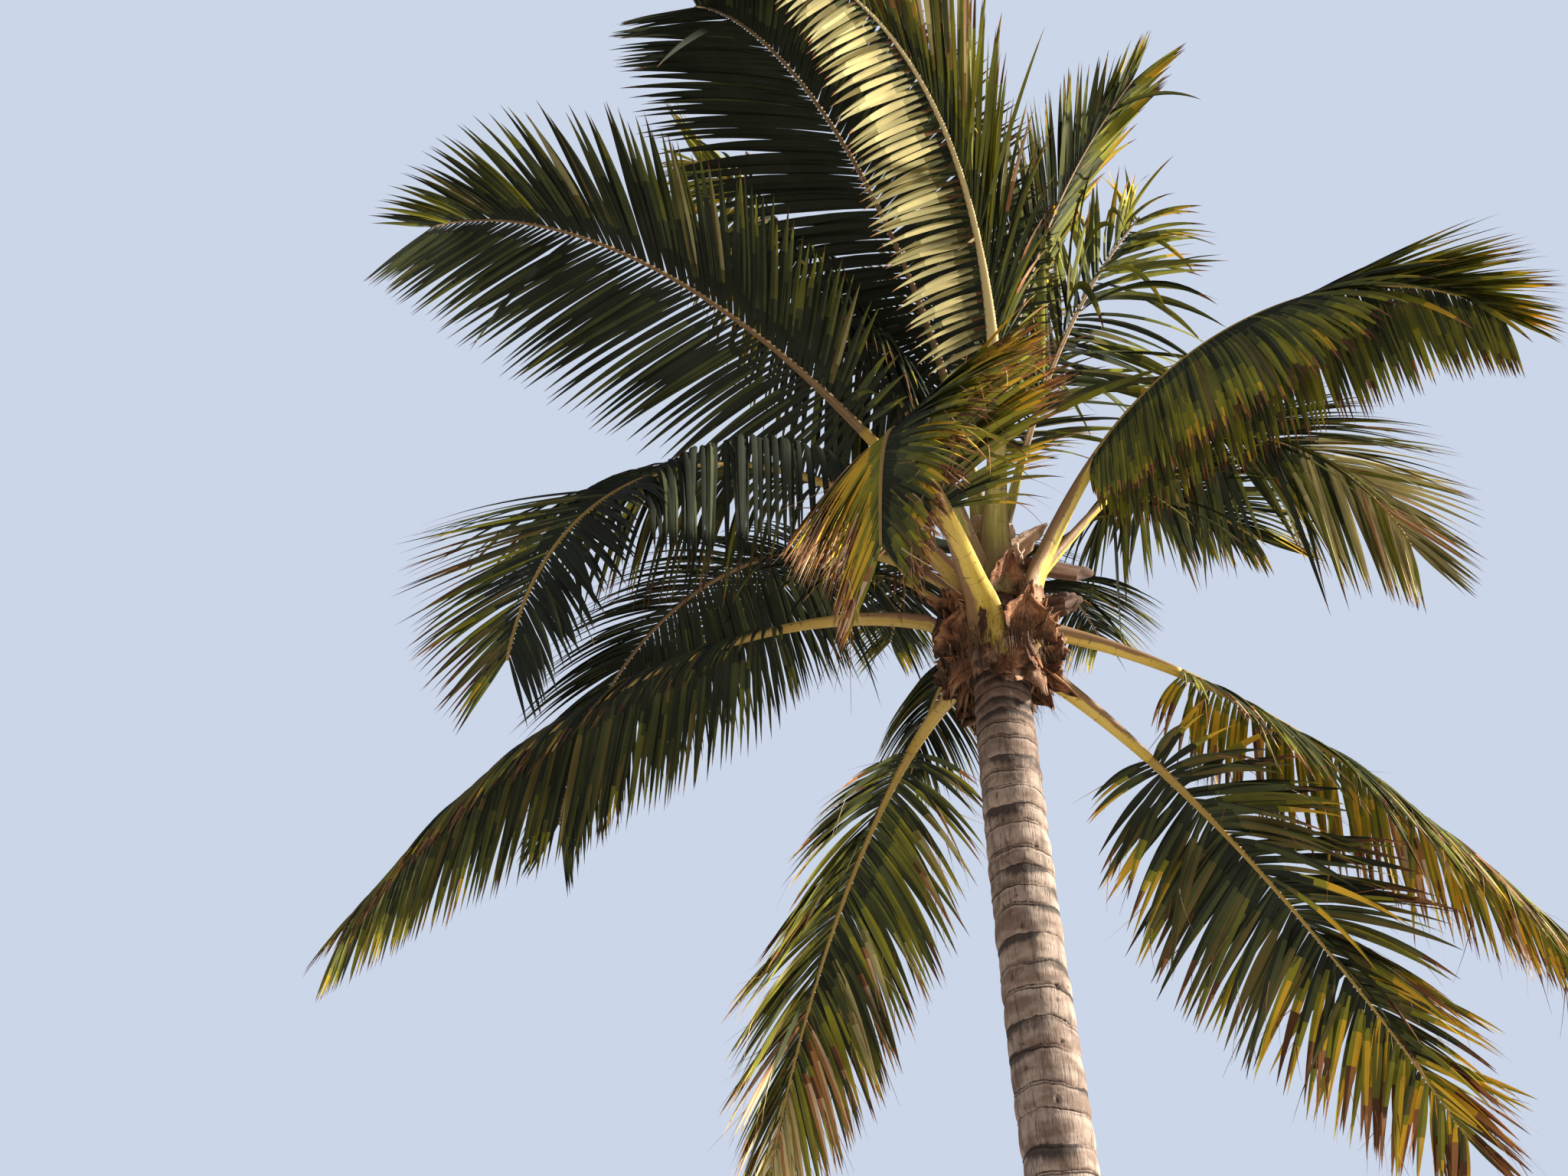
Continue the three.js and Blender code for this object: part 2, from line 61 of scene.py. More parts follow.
def lerp(start: Array, end: Array, share: Array) -> Array:
    """The value between start and end at a share of the way."""
    return start + (end - start) * share


def unit(vectors: Array) -> Array:
    """The vectors with a length of one."""
    return vectors / np.maximum(np.linalg.norm(vectors, axis=-1, keepdims=True), 1e-12)


def dot(first: Array, second: Array) -> Array:
    """The dot products, with the last axis kept."""
    return (first * second).sum(-1, keepdims=True)


def heading(angle: Array, slope: Array) -> Array:
    """Directions from their angles round the trunk and their slopes above the level, in radians."""
    angle, slope = np.broadcast_arrays(angle, slope)
    return np.stack([np.cos(slope) * np.cos(angle), np.cos(slope) * np.sin(angle), np.sin(slope)], -1)


def turned(vectors: Array, axes: Array, angle: Array) -> Array:
    """Vectors turned round unit axes.

    Args:
        vectors: what is turned, with a last axis of 3.
        axes: unit vectors of the same shape.
        angle: radians, with one axis fewer.

    Returns:
        The turned vectors.
    """
    cos, sin = np.cos(angle)[..., None], np.sin(angle)[..., None]
    return vectors * cos + np.cross(axes, vectors) * sin + axes * dot(axes, vectors) * (1 - cos)


def dealt(seed: Array) -> Array:
    """An even spread of numbers from 0 to 1 that is the same on every run."""
    wave = np.sin(np.asarray(seed, float) * HASH_PITCH + HASH_SHIFT) * HASH_SCALE
    return wave - np.floor(wave)


def between(low: float, high: float, seed: float) -> float:
    """A number from low to high that is the same on every run."""
    return low + (high - low) * float(dealt(seed))


def peak(distance: Array, width: float) -> Array:
    """A smooth peak, one high where the distance is nought."""
    return np.exp(-(distance / width) ** 2)


def of_side(pair: tuple[Choice, Choice], hand: int) -> Choice:
    """The left or the right one of a pair, for a hand of 1 or -1."""
    return pair[0] if hand > 0 else pair[1]


def followed(share: Array, knots: Array, points: Array) -> Array:
    """Places at shares along a line of points, whose own shares are the knots."""
    return np.stack([np.interp(share, knots, points[:, k]) for k in range(3)], -1)


def aside(side: Array, wide: Array, up: Array, tall: Array) -> Array:
    """Steps that are so many metres wide to the side and so many tall upwards."""
    return side * wide[:, None] + up * tall[:, None]


@dataclass(frozen=True)
class Ripple:
    """Smooth unevenness round the trunk or the heart: sines that climb it aslant.

    size is about its most, turns is how many times faster it goes round, seed makes each its own, waves is
    how many sines are summed, and pitch is the metres of height in the longest.
    """

    size: float
    turns: float
    seed: int
    waves: int
    pitch: float
    rounds: Pair = (2.0, 1.5)
    climbs: Pair = (0.6, 0.8)
    phases: float = 40.0
    fading: float = 0.5
    evening: float = 2.6

    def __call__(self, angle: Array, height: Array) -> Array:
        """The unevenness at angles in radians and heights in metres."""
        angle = angle * self.turns
        total = np.zeros_like(angle)
        for k in range(self.waves):
            seed = self.seed + k
            round_trunk = 1 + int(dealt(seed) * (self.rounds[0] + k * self.rounds[1]))
            up_trunk = TURN / self.pitch * (self.climbs[0] + k * self.climbs[1] * dealt(seed + 0.3))
            sign = 1 if dealt(seed + 0.6) > 0.5 else -1
            phase = self.phases * dealt(seed + 0.9)
            total += np.sin(round_trunk * angle + sign * up_trunk * height + phase) / (1 + k * self.fading)
        return self.size * (total / self.evening)


class Tint(Enum):
    """The plain colours that leaflets are dealt."""

    DEEP = "deep"
    LEAF = "leaf"
    MOSS = "moss"
    OLIVE = "olive"
    LIME = "lime"
    SAGE = "sage"
    SUNLIT = "sunlit"
    GOLD = "gold"
    RUST = "rust"
    UMBER = "umber"
    STRAW = "straw"


Deal = tuple[tuple[Tint, float], ...]


def deal(**shares: float) -> Deal:
    """Tints by name with the shares that they are dealt in."""
    return tuple((Tint(name), share) for name, share in shares.items())


# Each tint's darker neighbour: painted shade on the half of a leaflet turned from the sun, and the soft
# start of a band.
SHADED_TINT = {
    Tint.LEAF: Tint.DEEP, Tint.MOSS: Tint.LEAF, Tint.LIME: Tint.MOSS, Tint.OLIVE: Tint.LEAF,
    Tint.SAGE: Tint.OLIVE, Tint.SUNLIT: Tint.SAGE, Tint.GOLD: Tint.LIME, Tint.RUST: Tint.UMBER,
    Tint.STRAW: Tint.RUST,
}


class RibTint(Enum):
    """The plain colours that ribs are dealt."""

    CREAM = "cream"
    OCHRE = "ochre"
    BROWN = "brown"


class StalkTint(Enum):
    """The plain colours that stalks are dealt."""

    YELLOW = "yellow"
    OCHRE = "ochre"
    GREEN = "green"


@dataclass(frozen=True)
class Band:
    """A part of a leaflet with its own colours.

    tints holds tints with their shares, start is the share along the leaflet where the band begins, give or
    take its jitter, worn is the share of the leaflets that have it, and creep is how much nearer the rib it
    begins, and how much commoner it is, at the frond's tip.
    """

    start: float
    jitter: float
    tints: Deal
    worn: float = 1.0
    creep: float = 0.0


@dataclass(frozen=True)
class Dress:
    """How a side of a frond is coloured: bands from the rib to the leaflets' tips."""

    bands: tuple[Band, ...]


class Dresses(Enum):
    """The dresses that fronds wear, from shade to scorched."""

    # Painted shade: nearly all deep green, for fronds that lie in the shadow of the crown.
    DARK = Dress((
        Band(0, 0, deal(deep=0.93, leaf=0.07)),
        Band(0.93, 0.04, deal(umber=0.5, leaf=0.5))))
    SHADED = Dress((
        Band(0, 0, deal(deep=0.6, leaf=0.4)),
        Band(0.6, 0.2, deal(leaf=0.6, olive=0.2, moss=0.2), 0.5),
        Band(0.93, 0.04, deal(umber=0.5, olive=0.3, rust=0.2))))
    # Painted light: lighter outer parts stand for sunlight glowing through the leaflets.
    GLOWING = Dress((
        Band(0, 0, deal(deep=0.45, leaf=0.55)),
        Band(0.35, 0.2, deal(leaf=0.45, moss=0.55), 0.9),
        Band(0.7, 0.2, deal(moss=0.65, lime=0.35), 0.75),
        # A few leaflets turned pale sage: painted sheen.
        Band(0.12, 0.1, deal(sage=1.0), 0.07, 0.05),
        Band(0.6, 0.3, deal(moss=0.55, lime=0.45), -0.2, 0.7),
        Band(0.94, 0.04, deal(umber=0.4, gold=0.35, rust=0.25))))
    LIMED = Dress((
        Band(0, 0, deal(deep=0.45, leaf=0.4, moss=0.15)),
        Band(1.3, 0.15, deal(lime=0.6, gold=0.2, moss=0.2), -0.6, 2.0),
        Band(0.85, 0.08, deal(gold=0.5, rust=0.3, umber=0.2))))
    GREEN = Dress((
        Band(0, 0, deal(deep=0.36, leaf=0.48, olive=0.16)),
        Band(0.5, 0.25, deal(moss=0.65, olive=0.35), 0.55, 0.3),
        Band(0.8, 0.1, deal(lime=0.5, gold=0.5), 0.3, 0.3),
        Band(0.92, 0.05, deal(rust=0.45, umber=0.3, straw=0.25))))
    SUNNY = Dress((
        Band(0, 0, deal(leaf=0.32, moss=0.38, lime=0.16, olive=0.14)),
        Band(0.4, 0.2, deal(lime=0.65, moss=0.35), 0.6, 0.4),
        Band(0.7, 0.15, deal(lime=0.4, gold=0.6), 0.5, 0.4),
        Band(0.88, 0.06, deal(rust=0.5, straw=0.3, umber=0.2))))
    AGEING = Dress((
        Band(0, 0, deal(deep=0.34, leaf=0.42, olive=0.24)),
        Band(0.55, 0.25, deal(olive=0.4, moss=0.4, lime=0.2), 0.5, 0.5),
        Band(0.8, 0.12, deal(gold=0.35, straw=0.15, rust=0.5), 0.3, 0.3),
        Band(0.9, 0.06, deal(rust=0.5, umber=0.38, straw=0.12), 1.0, 0.12)))
    AUTUMN = Dress((
        Band(0, 0, deal(deep=0.2, leaf=0.36, olive=0.36, moss=0.08)),
        Band(0.5, 0.2, deal(olive=0.22, lime=0.28, gold=0.5), 0.4, 0.8),
        Band(0.8, 0.12, deal(rust=0.6, gold=0.3, umber=0.1), 0.65, 0.5)))
    SCORCHED = Dress((
        Band(0, 0, deal(leaf=0.4, moss=0.3, olive=0.2, deep=0.1)),
        Band(0.3, 0.15, deal(lime=0.55, moss=0.2, gold=0.25), 0.8),
        Band(0.56, 0.15, deal(gold=0.65, lime=0.35), 0.7),
        Band(0.82, 0.08, deal(rust=0.62, straw=0.23, umber=0.15))))
    FRINGED = Dress((
        Band(0, 0, deal(leaf=0.3, moss=0.45, olive=0.1, lime=0.15)),
        Band(0.6, 0.2, deal(lime=0.5, moss=0.5), 0.6, 0.4),
        Band(0.8, 0.08, deal(gold=0.6, rust=0.25, straw=0.15), 0.85, 0.1),
        Band(0.93, 0.03, deal(umber=0.5, rust=0.5))))
    GILDED = Dress((
        Band(0, 0, deal(moss=0.1, lime=0.4, gold=0.5)),
        Band(0.3, 0.2, deal(gold=0.6, lime=0.25, straw=0.15), 0.9),
        Band(0.62, 0.12, deal(straw=0.6, gold=0.28, rust=0.12), 0.9),
        Band(0.9, 0.05, deal(rust=0.5, straw=0.5))))
    # Painted light and shade: pale leaflets painted sunlit cream from near the rib, with painted shade at
    # their bases and on their outer parts.
    PALE = Dress((
        Band(0, 0, deal(olive=0.6, umber=0.4)),
        Band(0.09, 0.04, deal(sunlit=0.8, sage=0.2)),
        Band(0.64, 0.08, deal(sage=0.9, olive=0.1)),
        Band(0.93, 0.03, deal(umber=0.4, rust=0.4, straw=0.2))))
    PALING = Dress((
        Band(0, 0, deal(deep=0.1, leaf=0.5, olive=0.1, moss=0.3)),
        Band(0.5, 0.25, deal(moss=0.6, lime=0.4), 0.55),
        Band(0.95, 0.12, deal(sunlit=0.7, straw=0.1, lime=0.12, olive=0.08),
             -0.3, 2.2),
        Band(0.9, 0.06, deal(rust=0.4, straw=0.4, umber=0.2))))
    BLEACHED = Dress((
        Band(0, 0, deal(leaf=0.3, moss=0.4, lime=0.3)),
        Band(0.5, 0.2, deal(sunlit=0.35, straw=0.3, lime=0.35), 0.35, 0.8),
        Band(0.86, 0.08, deal(straw=0.4, gold=0.25, rust=0.35))))


@dataclass(frozen=True)
class HeartShape:
    """A heart's outline: its radii at levels above the trunk's top, in metres."""

    radii: tuple[float, ...]
    levels: tuple[float, ...] = (0, 0.07, 0.17, 0.3, 0.44, 0.59, 0.76, 0.92, 1.04, 1.12)

    def radius(self, level: Array) -> Array:
        """The outline's radius at levels."""
        return np.interp(level, self.levels, self.radii)


@dataclass(frozen=True)
class TrunkShape:
    """The trunk's lean, taper and root flare, as the CAD has them, in metres."""

    height: float = 7.58
    lean: Pair = (-0.55, -0.05)
    lean_power: float = 1.85
    radius_top: float = 0.137
    radius_chest: float = 0.178
    taper_power: float = 1.3
    flare_width: float = 0.1
    flare_height: float = 0.33
    flare_lobes: int = 5
    lobe_depth: float = 0.016

    def axis(self, height: Array) -> Array:
        """Where the trunk's axis stands at heights."""
        height = np.asarray(height, float)
        share = 1 - (1 - np.clip(height / self.height, 0, 1)) ** self.lean_power
        return np.stack([self.lean[0] * share, self.lean[1] * share, height], -1)

    def radius(self, height: Array, angle: Array) -> Array:
        """The trunk's radius at heights and angles, without its bark's relief."""
        tapered = np.clip(height / self.height, 0, 1) ** self.taper_power
        taper = lerp(self.radius_chest, self.radius_top, tapered)
        flare = np.exp(-height / self.flare_height)
        return taper + self.flare_width * flare + self.lobe_depth * flare * np.sin(self.flare_lobes * angle)


# HEART is the outline that the CAD has. CORE is slimmer, and the stalks' feet clasp it.
HEART = HeartShape((0.142, 0.19, 0.262, 0.272, 0.242, 0.205, 0.165, 0.128, 0.092, 0.04))
CORE = HeartShape((0.142, 0.17, 0.202, 0.205, 0.178, 0.13, 0.085, 0.055, 0.035, 0.015))
TRUNK = TrunkShape()
CROWN = TRUNK.axis(TRUNK.height)


def beside_heart(angle: Array, level: Array, radius: Array) -> Array:
    """Points beside the heart's axis, at levels above the trunk's top."""
    level = np.asarray(level, float)
    return CROWN + heading(angle, 0.0) * np.asarray(radius)[..., None] + level[..., None] * UP


@dataclass(frozen=True)
class RibShape:
    """Sizes that every frond's rib and foot share, in metres and in shares of the rib's length."""

    petiole_share: float = 0.24
    shares: tuple[float, ...] = (0.0, 0.07, 0.24, 0.4, 0.6, 1.0)
    widths: tuple[float, ...] = (0.15, 0.105, 0.06, 0.034, 0.025, 0.01)
    heights: tuple[float, ...] = (0.084, 0.062, 0.044, 0.032, 0.024, 0.012)
    stout_run: float = 0.3
    depth: float = 0.06
    usual_length: float = 3.8
    steps: int = 600
    foot_share: float = 0.05
    foot_drop: float = 0.36
    foot_knee: float = 0.42
    knee_off: float = 0.03
    foot_reach: float = 0.14
    foot_width: float = 0.2
    foot_thick: float = 0.02
    foot_lowest: float = 0.02
    foot_girth: float = 0.55
    foot_ease: float = 1.4
    foot_step: float = 0.01

    def size(self, girth: float, share: Array) -> tuple[Array, Array]:
        """The rib's width and height at shares of its length: a broad base, a neck and a fine tip."""
        stout = lerp(girth, 1, np.clip((share - self.petiole_share) / self.stout_run, 0, 1))
        width = np.interp(share, self.shares, self.widths)
        height = np.interp(share, self.shares, self.heights)
        return width * stout, height * stout


RIB = RibShape()


@dataclass(frozen=True)
class Frond:
    """One frond's habit, as the CAD has it, and its colours.

    az is in degrees round the trunk and level in metres above its top. The rib rises by rise degrees less
    droop times share ** bend, it is length metres long, and swing turns it sideways on its way.

    Each pair is for the left and the right half, seen from the trunk outwards, and a tip_ pair is what it
    comes to at the tip, or at hang_until along the blade. hang lets the leaflets fall, lift folds the half
    up in degrees, reach scales the leaflets and spread opens them, and breadth and crowd are how broad and
    how many they are. arch lets them rise before they fall, roll turns the blade over in degrees by the
    share roll_by, and end is where its leaflets and rib end.

    mess is how unruly the leaflets are, crease is how sharply each is folded, threads is how many torn
    threads each ends in, and girth is how stout the stalk is.
    """

    name: str
    az: float
    level: float
    rise: float
    droop: float
    bend: float
    length: float
    swing: float = 0
    hang: Pair = (0.4, 0.4)
    tip_hang: Optional[Pair] = None
    hang_until: float = 1
    arch: float = 0
    roll: float = 0
    roll_by: float = 0.3
    lift: Pair = (16, 16)
    tip_lift: Optional[Pair] = None
    reach: Pair = (1, 1)
    tip_reach: Optional[Pair] = None
    end: float = 0.965
    spread: Pair = (1, 1)
    tip_spread: Optional[Pair] = None
    breadth: Pair = (1, 1)
    crowd: Pair = (1, 1)
    mess: float = 1
    crease: float = 1
    threads: int = 0
    girth: float = 1
    left: Dresses = Dresses.GREEN
    right: Dresses = Dresses.GREEN
    ribs: RibTint = RibTint.OCHRE
    stalk: StalkTint = StalkTint.OCHRE

    def axes(self, share: Array) -> tuple[Array, Array, Array]:
        """The rib's forward, side and up directions at shares of its length."""
        slope = np.radians(self.rise - self.droop * share ** self.bend)
        angle = np.radians(self.az + self.swing * share)
        turn = np.radians(self.roll * np.minimum(1, share / self.roll_by))
        forward = heading(angle, slope)
        side = turned(heading(angle + np.pi / 2, 0.0), forward, turn)
        return forward, side, np.cross(forward, side)

    def course(self, share: Array) -> Array:
        """The rib's middle at shares of its length, followed in small steps from inside the heart."""
        middles = (np.arange(RIB.steps) + 0.5) / RIB.steps
        moves = self.axes(middles)[0] * (self.length / RIB.steps)
        start = beside_heart(math.radians(self.az), self.level, HEART.radius(self.level) - RIB.depth)
        points = np.vstack([start, start + np.cumsum(moves, 0)])
        ends = np.linspace(0, 1, RIB.steps + 1)
        return followed(share, ends, points)

    def foot(self, share: Array) -> Array:
        """The middle of the foot, from its lower end on the heart's core to where the rib begins.

        Args:
            share: how far up the foot, from 0 to 1.

        Returns:
            The points, one for each share.
        """
        angle = math.radians(self.az)
        joint = np.array([RIB.foot_share])
        end = self.course(joint)[0]
        drop = min(RIB.foot_drop, self.level - RIB.foot_lowest)
        low, knee = self.level - drop, self.level - RIB.foot_knee * drop
        knots = [
            beside_heart(angle, low, CORE.radius(low)),
            beside_heart(angle, knee, CORE.radius(knee) + RIB.knee_off),
            end - self.axes(joint)[0][0] * RIB.foot_reach,
            end,
        ]
        rest = 1 - share
        weights = [rest ** 3, 3 * share * rest ** 2, 3 * share ** 2 * rest, share ** 3]
        return sum(weight[:, None] * knot for weight, knot in zip(weights, knots))

    def section(self, share: Array) -> tuple[Array, Array, Array, Array, Array]:
        """The stalk's section from the lower end of its foot at 0 to the end of the petiole at 2.

        Args:
            share: 0 to 1 runs up the foot, and 1 to 2 along the petiole.

        Returns:
            The middle, the side and up directions, half the width and half the height.
        """
        in_foot = np.clip(share, 0, 1)
        footed = (share < 1)[:, None]
        on_rib = lerp(RIB.foot_share, RIB.petiole_share, np.clip(share - 1, 0, 1))
        centre = np.where(footed, self.foot(in_foot), self.course(on_rib))
        _, side, up = self.axes(on_rib)
        above, below = np.minimum(in_foot + RIB.foot_step, 1), np.maximum(in_foot - RIB.foot_step, 0)
        ahead = unit(self.foot(above) - self.foot(below))
        level_side = heading(math.radians(self.az) + np.pi / 2, 0.0)
        side = np.where(footed, unit(lerp(level_side, side, in_foot[:, None] ** 2)), side)
        up = np.where(footed, unit(np.cross(ahead, side)), up)
        width, height = RIB.size(self.girth, on_rib)
        foot_width = RIB.foot_width * lerp(RIB.foot_girth, 1, self.girth)
        grown = in_foot ** RIB.foot_ease
        return centre, side, up, lerp(foot_width, width, grown) / 2, lerp(RIB.foot_thick, height / 2, grown)


FRONDS = [
    Frond("left_high", 217, 0.79, 37, 92, 1.7, 3.78, hang=(0.25, 0.35), hang_until=0.7, lift=(8, -14),
          reach=(0.8, 1), tip_reach=(1.45, 1.05), spread=(0.8, 1), breadth=(1.15, 1), crowd=(0.72, 0.74),
          mess=0.6, left=Dresses.GLOWING, right=Dresses.SHADED, ribs=RibTint.BROWN),
    Frond("left_arch", 214, 0.5, 62, 158, 0.62, 4.05, hang=(8, 6), tip_hang=(0.1, 0.1), hang_until=0.5,
          arch=0.9, roll=-40, roll_by=0.9, tip_lift=(-5, 16), reach=(1.75, 1.5),
          tip_reach=(0.95, 0.95), end=0.9, spread=(0.8, 0.64), tip_spread=(1, 0.9), breadth=(0.85, 0.85),
          mess=1.2, left=Dresses.DARK, right=Dresses.AGEING),
    Frond("left_low", 167, 0.4, 38, 103, 0.6, 4.05, swing=4, hang=(2.4, 2.4), reach=(0.85, 0.85), end=0.93,
          breadth=(0.9, 0.9), left=Dresses.AGEING, right=Dresses.GREEN),
    Frond("left_back", 154, 0.63, 50, 136, 1.4, 3.95, swing=-30, hang=(1.2, 1.2), girth=0.9,
          left=Dresses.SHADED, right=Dresses.SHADED, ribs=RibTint.BROWN),
    Frond("back_left_low", 110, 0.25, 32, 95, 0.6, 3.85, swing=3, hang=(0.9, 0.9), lift=(-14, 16),
          spread=(0.9, 0.9), breadth=(1.25, 1.25), mess=1.8, threads=1, left=Dresses.BLEACHED,
          right=Dresses.BLEACHED),
    Frond("back_low", 97, 0.4, 40, 50, 1.2, 2.5, hang=(2.2, 2.2), girth=0.9),
    Frond("right_lowest", 39, 0.26, -2, 44, 0.6, 3.7, hang=(0.5, 0.5), lift=(-6, 10), spread=(1.12, 1.05),
          breadth=(1.4, 1.4), mess=2.6, threads=1, left=Dresses.AUTUMN, right=Dresses.AUTUMN,
          stalk=StalkTint.YELLOW),
    Frond("right_low", 18, 0.43, 9, 54, 0.6, 3.55, swing=4, hang=(1.5, 1.5), lift=(16, -25),
          reach=(0.82, 0.95), mess=2, threads=1, left=Dresses.GILDED, right=Dresses.BLEACHED,
          stalk=StalkTint.YELLOW),
    Frond("right_high", 330, 0.5, 63, 148, 1.85, 3.85, swing=15, hang=(5, 5), tip_hang=(4, 0.1),
          hang_until=0.6, lift=(0, -30), tip_lift=(-25, -2), reach=(0.8, 0.85), tip_reach=(0.88, 1.2),
          end=0.9, spread=(1.5, 1.5), tip_spread=(1.5, 0.58), breadth=(1, 1.4), crowd=(1.2, 1.8), girth=1.25,
          left=Dresses.FRINGED, right=Dresses.SUNNY, stalk=StalkTint.YELLOW),
    Frond("right_arch", 6, 0.61, 56, 140, 2.5, 3.8, swing=30, hang=(0.2, 0.6), tip_hang=(1.4, 0),
          lift=(-6, -20), tip_lift=(-10, 40), reach=(1.5, 1.05), tip_reach=(1.05, 1.2), spread=(0.72, 0.7),
          breadth=(1.2, 1), end=0.94, mess=1.7, girth=1.1, crease=1.5, left=Dresses.PALING,
          right=Dresses.PALING, stalk=StalkTint.YELLOW),
    Frond("right_back", 45, 0.67, 54, 134, 2.8, 3.75, swing=-16, hang=(0.6, 0.6), end=0.8, reach=(0.75, 1.1),
          spread=(0.7, 0.8), breadth=(1.2, 1.2), mess=2, girth=0.8, stalk=StalkTint.YELLOW),
    Frond("back_right", 66, 0.45, 58, 58, 1.5, 2.9, hang=(1.3, 1.3), mess=1.5, girth=0.9,
          ribs=RibTint.BROWN),
    Frond("back_middle", 97, 0.64, 64, 70, 1.3, 3.7, hang=(0.6, 0.6), girth=0.8),
    Frond("back_left", 126, 0.48, 58, 75, 1.3, 3.7, hang=(0.8, 0.8), girth=0.9,
          left=Dresses.SHADED, right=Dresses.SHADED),
    Frond("front_low", 251, 0.33, 0, 85, 1.35, 3.75, swing=11, hang=(0.6, 1.4), roll=22, reach=(1.05, 1.2),
          spread=(1, 0.62), breadth=(1.3, 1.2), crowd=(1.9, 1.5), threads=1, girth=1.25,
          left=Dresses.SCORCHED, right=Dresses.GILDED, stalk=StalkTint.YELLOW),
    Frond("top_bright", 274, 0.85, 42, 87, 1.15, 4.1, swing=-45, hang=(0.4, 0.7), tip_hang=(0.4, 1.6),
          lift=(70, -15), reach=(1, 0.6), spread=(0.62, 1.0), breadth=(1, 1.2), crowd=(1.3, 0.55), mess=1.2,
          girth=1.1, crease=1.9, left=Dresses.BLEACHED, right=Dresses.PALE, ribs=RibTint.CREAM,
          stalk=StalkTint.GREEN),
    Frond("top_dark", 243, 0.96, 68, 126, 1.65, 3.9, swing=-9, reach=(1, 1.1), breadth=(1.1, 1.1),
          mess=0.7, girth=0.8, left=Dresses.SHADED, right=Dresses.DARK, ribs=RibTint.BROWN,
          stalk=StalkTint.GREEN),
    Frond("top_left", 188, 0.85, 75, 34, 1.5, 3.5, swing=5, hang=(3, 3), tip_hang=(0.2, 0.2),
          reach=(1.6, 1.6), tip_reach=(1.1, 1.1), breadth=(1.2, 1.2), mess=1.8, girth=0.8,
          left=Dresses.LIMED, right=Dresses.LIMED, stalk=StalkTint.GREEN),
    Frond("top_young", 334, 1.02, 84, 42, 1.75, 3.55, swing=-8, hang=(0.1, 0.1), reach=(1.2, 0.9),
          spread=(0.28, 0.6), breadth=(1.3, 1.2), crowd=(0.9, 0.9), mess=1.4, girth=0.7, left=Dresses.SUNNY,
          right=Dresses.GREEN, ribs=RibTint.BROWN, stalk=StalkTint.GREEN),
    Frond("top_back", 110, 0.96, 84, 10, 1.5, 3.2, swing=-20, hang=(0.1, 0.1), reach=(1, 1.3),
          spread=(0.8, 0.8), breadth=(1, 1.4), mess=1.5, girth=0.7, left=Dresses.GREEN,
          right=Dresses.BLEACHED, stalk=StalkTint.GREEN),
    Frond("top_right", 20, 0.94, 76, 18, 1.5, 3.45, swing=-8, roll=92, reach=(1.2, 1.2), spread=(0.5, 0.5),
          breadth=(1.4, 1.4), crowd=(0.5, 0.5), mess=4.5, girth=0.7, left=Dresses.SUNNY, right=Dresses.SUNNY,
          ribs=RibTint.BROWN, stalk=StalkTint.GREEN),
]


class Signal:
    """A node socket that Python's own operators work on."""

    def __init__(self, graph: "Graph", socket: bpy.types.NodeSocket) -> None:
        """Wraps one output socket of a graph."""
        self.graph = graph
        self.socket = socket

    def maths(self, operation: str, first: "Number", second: "Number" = 0.0) -> "Signal":
        """A Math node on two values."""
        return self.graph.node("ShaderNodeMath", {"operation": operation}, {0: first, 1: second})

    def __add__(self, other: "Number") -> "Signal":
        """self + other."""
        return self.maths("ADD", self, other)

    def __sub__(self, other: "Number") -> "Signal":
        """self - other."""
        return self.maths("SUBTRACT", self, other)

    def __mul__(self, other: "Number") -> "Signal":
        """self * other."""
        return self.maths("MULTIPLY", self, other)

    def __abs__(self) -> "Signal":
        """The size of this value without its sign."""
        return self.maths("ABSOLUTE", self)

    def cosine(self) -> "Signal":
        """The cosine of this value in radians."""
        return self.maths("COSINE", self)


Number = Union[Signal, float]


@dataclass(frozen=True)
class Grain:
    """A cloudy noise: its stretch, scale, detail and roughness, and whether it lies on the UV map."""

    stretch: Triple = (1, 1, 1)
    scale: float = 1.0
    detail: float = 4.0
    rough: float = 0.55
    on_surface: bool = False


@dataclass(frozen=True)
class Onset:
    """Where a colour sets in as a value goes from low to high, and how much of it there is then."""

    low: float
    high: float
    share: float = 1.0


